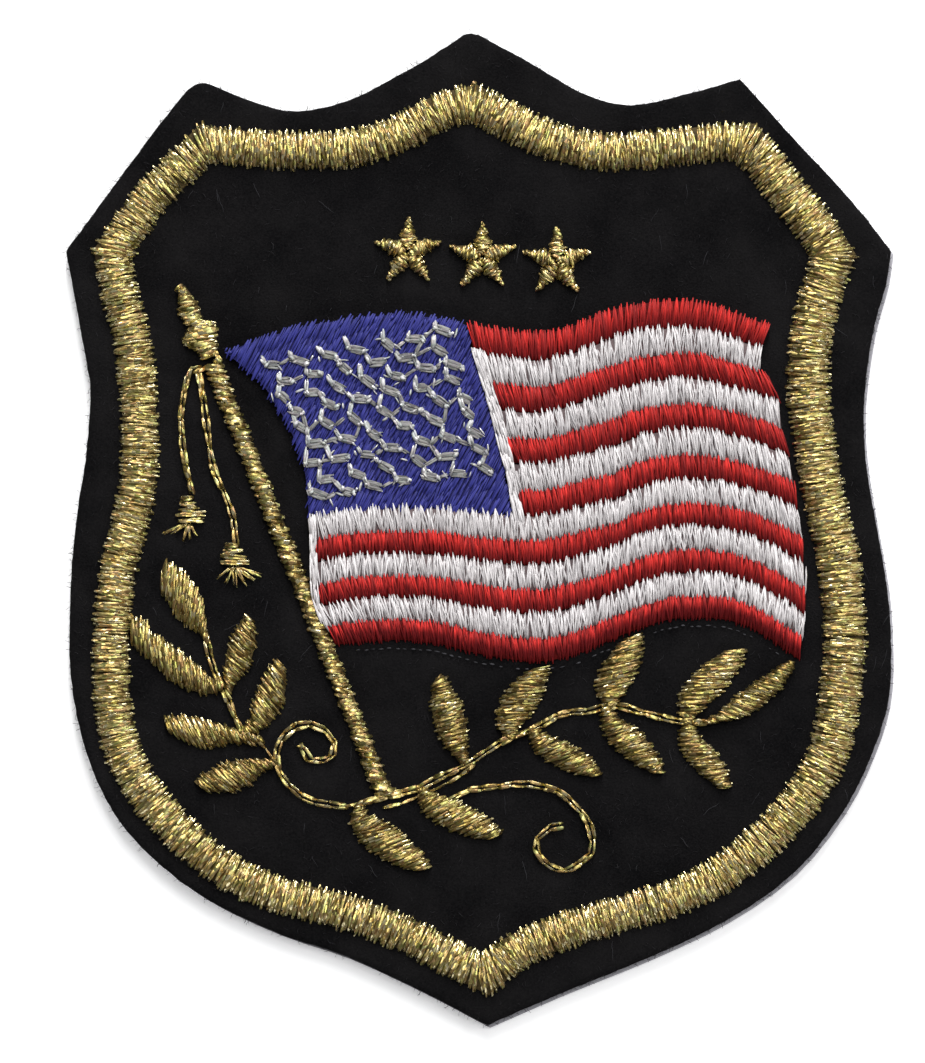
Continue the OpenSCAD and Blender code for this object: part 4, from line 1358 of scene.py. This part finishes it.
def makeLines():
    names = ("cord_left", "cord_right", "stem_left", "stem_right", "scroll_left", "scroll_right")
    for k, node in enumerate(names):
        one, other = bandRails(node)
        middle, side = (one + other) / 2, (one - other) / 2
        side *= lineLook["gap"] / np.linalg.norm(side, axis=1)[:, None]
        kept = middle[:, 1] < middle[:, 1].max() - lineLook["trims"].get(node, -math.inf)
        middle, side = middle[kept], side[kept]
        rise, n = crownOf(node) * lineLook["crown"], len(middle)
        rows = [
            (p, p, constant(rise, n), constant(0.0, n)) for p in (middle + side, (middle - side)[::-1])]
        for points in lineLook["extras"].get(node, []):
            line = resampled(np.array(points) * mm, lineLook["step"], closed=False)
            rows.append((line, line, constant(rise, len(line)), constant(0.0, len(line))))
        sewNode(node, "gold_thread", rows, rowTree, {**lineLook["rows"], "Seed": 300 + k, "Thread": gold},
                gold, padding=0)


makeLines()

# Tassels: wraps that widen downwards, and a short fringe

tasselLook = {
    # places and widths in millimetres
    "tassel_left": {
        "wraps": [
            (-22.4, 2.35, 1.0), (-22.3, 1.95, 1.25), (-22.2, 1.5, 1.6), (-22.1, 1.15, 2.3),
            (-22.05, 0.7, 2.0),
        ],
        "knot": (-22.2, 0.55),
        "tips": [(-24.3, -0.2), (-23.5, -0.5), (-22.8, -0.7), (-22.1, -0.7), (-21.6, -0.5)],
    },
    "tassel_right": {
        "wraps": [(-18.95, -1.25, 1.1), (-18.85, -1.65, 1.5), (-18.8, -2.1, 2.0), (-18.7, -2.55, 2.2)],
        "knot": (-18.75, -2.75),
        "tips": [(-20.1, -3.7), (-19.4, -4.2), (-18.6, -4.4), (-17.9, -4.2), (-17.2, -4.0), (-16.8, -3.5)],
    },
    # each wrap is a pair of strands: how far each lies off its place, how it slants and how high it rises
    "wrapShifts": (-0.09, 0.09), "leans": (-0.1, 0.16), "wrapRises": (0.85, 1.0),
    # each tip is a pair too: how far apart they start, at what share of the way, and how far they end off it
    "tipShifts": (-0.1, 0.1), "tipStart": 0.12, "tipSpread": 0.2, "tipRise": 0.7, "tipSize": 0.62,
    "seed": 5,
    "strands": {
        "Points": 8, "Sides": 6, "Width": 0.25 * mm, "Flatness": 0.6, "Dome": 0.5, "Height Spread": 0.3,
        "Wobble": 0.12 * mm, "Tilt Spread": 1.0, "End Width": 0.6,
    },
}


def makeTassels():
    random = np.random.default_rng(tasselLook["seed"])
    for node in ("tassel_left", "tassel_right"):
        places, crown, strands = tasselLook[node], crownOf(node), []
        for x, y, width in places["wraps"]:
            for shift in tasselLook["wrapShifts"]:
                lean = random.uniform(*tasselLook["leans"])
                a = np.array([x - width / 2, y + shift - lean]) * mm
                b = np.array([x + width / 2, y + shift + lean]) * mm
                looseStrand(strands, a, b, feltTop, crown * random.uniform(*tasselLook["wrapRises"]))
        knot, spread = np.array(places["knot"]) * mm, tasselLook["tipSpread"]
        for tip in places["tips"]:
            tip = np.array(tip) * mm
            for shift in tasselLook["tipShifts"]:
                start = knot + (tip - knot) * tasselLook["tipStart"] + np.array([shift, 0.0]) * mm
                end = tip + random.uniform(-spread, spread, 2) * mm
                looseStrand(
                    strands, start, end, feltTop, crown * tasselLook["tipRise"], tasselLook["tipSize"])
        name, look = f"{node}_stitches", {**tasselLook["strands"], "Seed": 31, "Thread": gold}
        sew(name, looseMesh(name, strands, gold), looseTree, look, "gold_thread", node)


makeTassels()
print("stage: pole, leaves, stars and cords")

# Felt

feltLook = {
    # the cut edge: steps along it, how far it wanders in small and broad waves, and its upper corner
    "cutStep": 0.3 * mm, "wander": 0.05 * mm, "waves": (0.7 * mm, 4 * mm), "corner": 0.16 * mm,
    "insets": (0.03 * mm, 0.0, 0.02 * mm),  # of its rings at the bottom, half way up and under the corner
    # the top: cells of the mesh, and as shares of a cell the step between rows of points, how far the points
    # stray, and how far they stay off the edge
    "cell": 0.42 * mm, "rowStep": 0.866, "cellSpread": 0.15, "cellGap": 0.6, "seed": 3,
    # its small and broad unevenness, how far it lies below the felt's height, and how it goes flat at the rim
    "relief": 0.05 * mm, "bumps": (0.9 * mm, 5 * mm), "broadShare": 1.2, "sink": 0.02 * mm, "rim": 0.8 * mm,
    "press": 0.14 * mm, "pressReach": 0.7 * mm,  # how the stitches press it down
    "light": (0.0098, 0.0092, 0.0096, 1), "deep": (0.0028, 0.0027, 0.0031, 1),
    "surface": {"Roughness": 0.95, "Specular IOR Level": 0.05}, "grain": 7000.0, "grainDepth": 0.06 * mm,
}


def inward(loop):
    # unit arrows from an anticlockwise loop towards its inside
    tangent = unit(np.roll(loop, -1, axis=0) - np.roll(loop, 1, axis=0))
    return np.column_stack([-tangent[:, 1], tangent[:, 0]])


def grainAt(x, y, size, seed):
    return noise.noise(Vector((x / size, y / size, seed)))


def insideOf(points, loop):
    x, y = points[:, 0], points[:, 1]
    inside = np.zeros(len(points), bool)
    for (ax, ay), (bx, by) in zip(loop, np.roll(loop, -1, axis=0)):
        if ay != by:
            crosses = (ay > y) != (by > y)
            inside ^= crosses & (x < (bx - ax) * (y - ay) / (by - ay) + ax)
    return inside


def distanceFrom(points):
    # measures how far a place lies from the nearest of some points, seen from above
    tree = kdtree.KDTree(len(points))
    for i, point in enumerate(points):
        tree.insert((point[0], point[1], 0.0), i)
    tree.balance()
    return lambda x, y: tree.find((x, y, 0.0))[2]


def feltRings(loop):
    # the cut edge from the bottom up: rings that wander a little, and the height of each
    arrows, corner, bottom = inward(loop), feltLook["corner"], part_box("felt_ground")[0].z
    fine, broad = feltLook["waves"]
    insets = (*feltLook["insets"], corner)
    heights = (bottom, (bottom + feltTop) / 2, feltTop - corner, feltTop - feltLook["sink"])
    rings = []
    for inset, height, seed in zip(insets, heights, (1.0, 3.0, 5.0, 5.0)):
        waves = [grainAt(x, y, fine, seed) + grainAt(x, y, broad, seed + 9) for x, y in loop]
        shifts = inset + feltLook["wander"] * np.array(waves)
        rings.append((loop + arrows * shifts[:, None], height))
    return rings


def gridInside(loop, fromLoop):
    # rows of points inside a loop, each a little off its place
    low, high, cell = loop.min(axis=0), loop.max(axis=0), feltLook["cell"]
    grid = []
    for j, y in enumerate(np.arange(low[1], high[1], cell * feltLook["rowStep"])):
        for x in np.arange(low[0] + (j % 2) * cell / 2, high[0], cell):
            grid.append((x, y))
    grid, spread = np.array(grid), feltLook["cellSpread"]
    grid += np.random.default_rng(feltLook["seed"]).uniform(-spread, spread, grid.shape) * cell
    return [p for p in grid[insideOf(grid, loop)] if fromLoop(*p) > cell * feltLook["cellGap"]]


def feltHeight(x, y, rim, away):
    # uneven, and pressed down near the stitches
    fine, broad = feltLook["bumps"]
    uneven = grainAt(x, y, fine, 2.0) + feltLook["broadShare"] * grainAt(x, y, broad, 4.0)
    press = feltLook["press"] * math.exp(-(away / feltLook["pressReach"]) ** 2)
    soft = min(rim / feltLook["rim"], 1.0)
    return feltTop - feltLook["sink"] + feltLook["relief"] * uneven * soft - press * soft


def makeFelt():
    loop = resampled(outlines("felt_ground")[0], feltLook["cutStep"])
    area = 0.5 * np.sum(loop[:, 0] * np.roll(loop[:, 1], -1) - loop[:, 1] * np.roll(loop[:, 0], -1))
    if area < 0:
        loop = loop[::-1]
    rings = feltRings(loop)
    n, inner = len(loop), rings[-1][0]
    fromEdge = distanceFrom(inner)
    fromStitches = distanceFrom([v.co for obj, slot, nodes in pieces for v in obj.data.vertices])
    flat = [Vector(p) for p in (*inner, *gridInside(inner, fromEdge))]
    border = [(i, (i + 1) % n) for i in range(n)]
    made = geometry.delaunay_2d_cdt(flat, border, [], 1, 1e-9)
    points, triangles, origins = made[0], made[2], made[3]

    verts = [(x, y, height) for ring, height in rings[:-1] for x, y in ring]
    start = len(verts)
    verts += [(x, y, feltHeight(x, y, fromEdge(x, y), fromStitches(x, y))) for x, y in points]
    faces = []
    for r in range(len(rings) - 2):
        faces += [
            (r * n + i, r * n + (i + 1) % n, (r + 1) * n + (i + 1) % n, (r + 1) * n + i) for i in range(n)]
    cornerOf = {i: start + k for k, origin in enumerate(origins) for i in origin}
    last = (len(rings) - 2) * n
    faces += [(last + i, last + (i + 1) % n, cornerOf[(i + 1) % n], cornerOf[i]) for i in range(n)]
    faces += [tuple(start + i for i in triangle) for triangle in triangles]
    faces.append(tuple(reversed(range(n))))
    mesh = bpy.data.meshes.new("felt_shield")
    mesh.from_pydata(verts, [], faces)
    facedOut(mesh)
    for polygon in mesh.polygons:
        polygon.use_smooth = len(polygon.vertices) < 5
    mesh.materials.append(felt)
    return addPiece("felt_shield", mesh, "black_felt", "felt_ground"), abs(area)


felt = clothLike("black_felt", feltLook["light"], feltLook["deep"], feltLook["surface"],
                 feltLook["grain"], feltLook["grainDepth"])
feltPiece, feltArea = makeFelt()
print("stage: felt")

# Nap, lint and the film under the felt

napLook = {
    "fibre": {"Base Color": (0.020, 0.019, 0.021, 1), "Roughness": 0.85, "Specular IOR Level": 0.15},
    "growth": {
        "Top Density": 1.6e6, "Edge Density": 4.5e6, "Length": 0.31 * mm, "Thickness": 0.015 * mm,
        "Lean": 1.3,
    },
}


def makeNap():
    look = {**napLook["growth"], "Seed": 2, "Fibre": newMaterial("felt_fibres", napLook["fibre"])[0]}
    sew("felt_nap", feltPiece.data.copy(), napTree, look, "black_felt")


makeNap()

lintLook = {
    "seed": 17, "fibres": 64, "length": (0.5 * mm, 1.7 * mm), "turn": 0.45,  # most of them lie upright
    "height": 0.04 * mm, "rise": 0.12 * mm, "below": 0.08 * mm,  # deepest felt under a fibre's end
    "thread": {"Base Color": (0.031, 0.031, 0.036, 1), "Roughness": 0.8},
    "sewing": {
        "Points": 7, "Sides": 3, "Width": 0.024 * mm, "Flatness": 1.0, "Dome": 0.5, "Height Spread": 1.0,
        "Wobble": 0.5 * mm, "Tilt Spread": 0.0, "End Width": 0.6,
    },
}


def makeLint():
    # stray pale fibres that lie on the felt
    random = np.random.default_rng(lintLook["seed"])
    surface = [v.co for v in feltPiece.data.vertices if v.co.z > feltTop - lintLook["below"]]
    strands = []
    for k in range(lintLook["fibres"]):
        start = surface[int(random.integers(len(surface)))]
        turn, length = random.normal(math.pi / 2, lintLook["turn"]), random.uniform(*lintLook["length"])
        end = (start.x + math.cos(turn) * length, start.y + math.sin(turn) * length)
        looseStrand(strands, (start.x, start.y), end, feltTop + lintLook["height"], lintLook["rise"])
    pale = newMaterial("pale_lint", lintLook["thread"])[0]
    look = {**lintLook["sewing"], "Seed": 4, "Thread": pale}
    sew("felt_lint", looseMesh("felt_lint", strands, pale), looseTree, look, "black_felt")


makeLint()

filmLook = {
    "light": (0.60, 0.59, 0.63, 1), "deep": (0.48, 0.47, 0.51, 1),
    "surface": {"Roughness": 0.35, "Coat Weight": 0.2}, "grain": 1500.0, "grainDepth": 0.01 * mm,
}


def dressFilm():
    film = clothLike("pale_backing_film", filmLook["light"], filmLook["deep"], filmLook["surface"],
                     filmLook["grain"], filmLook["grainDepth"])
    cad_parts["backing_film"].material_slots[0].material = film


dressFilm()
print("stage: nap and film")

# Finish: every piece becomes a plain mesh and rides on the patch

for obj, slot, nodes in pieces:
    if obj.modifiers:
        settle(obj)
    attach(obj, "root")
    if nodes:
        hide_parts(*nodes)
counts = {obj.name: sum(len(p.vertices) - 2 for p in obj.data.polygons) for obj, slot, nodes in pieces}
print("stage:", len(pieces), "pieces,", sum(counts.values()), "triangles, most in",
      max(counts.items(), key=lambda count: count[1]))

# Camera, light and floor

studio = {
    "frameHeight": 81.57 * mm, "middle": (-1.228 * mm, -0.153 * mm), "lens": 200.0, "sensor": 36.0,
    "clip": (0.01, 10.0),
    # watts, size and place
    "lamps": [
        (10.3, (0.9, 0.15), (0.0, 0.81, 0.45)), (3.0, (0.15, 0.9), (0.0, 0.30, 0.87)),
        (3.0, (0.15, 0.9), (0.70, 0.15, 0.55)),
    ],
    "sky": (0.21, 0.21, 0.215, 1), "floorSize": 6.0,
    "floor": {
        "Base Color": (0.9, 0.9, 0.9, 1), "Roughness": 0.9, "Emission Color": (1, 1, 1, 1),
        "Emission Strength": 0.3,
    },
}


def makeStudio():
    camera = bpy.data.cameras.new("camera")
    camera.lens, camera.sensor_width = studio["lens"], studio["sensor"]
    camera.clip_start, camera.clip_end = studio["clip"]
    eye = bpy.data.objects.new("camera", camera)
    eye.location = (*studio["middle"], studio["frameHeight"] * studio["lens"] / studio["sensor"] + feltTop)
    bpy.context.scene.collection.objects.link(eye)
    bpy.context.scene.camera = eye

    for watts, size, spot in studio["lamps"]:
        lamp = bpy.data.lights.new("lamp", "AREA")
        lamp.shape, lamp.size, lamp.size_y = "RECTANGLE", *size
        lamp.energy = watts
        hung = bpy.data.objects.new("lamp", lamp)
        hung.location, hung.rotation_euler = spot, Vector(spot).to_track_quat("Z", "X").to_euler()
        bpy.context.scene.collection.objects.link(hung)

    world = bpy.data.worlds.new("studio")
    world.use_nodes = True
    world.node_tree.nodes["Background"].inputs["Color"].default_value = studio["sky"]
    bpy.context.scene.world = world
    bpy.context.scene.view_settings.view_transform = "Standard"

    bpy.ops.mesh.primitive_plane_add(size=studio["floorSize"])
    floor = bpy.context.object
    floor.name = "floor"
    floor.data.materials.append(newMaterial("pale_floor", studio["floor"])[0])


makeStudio()
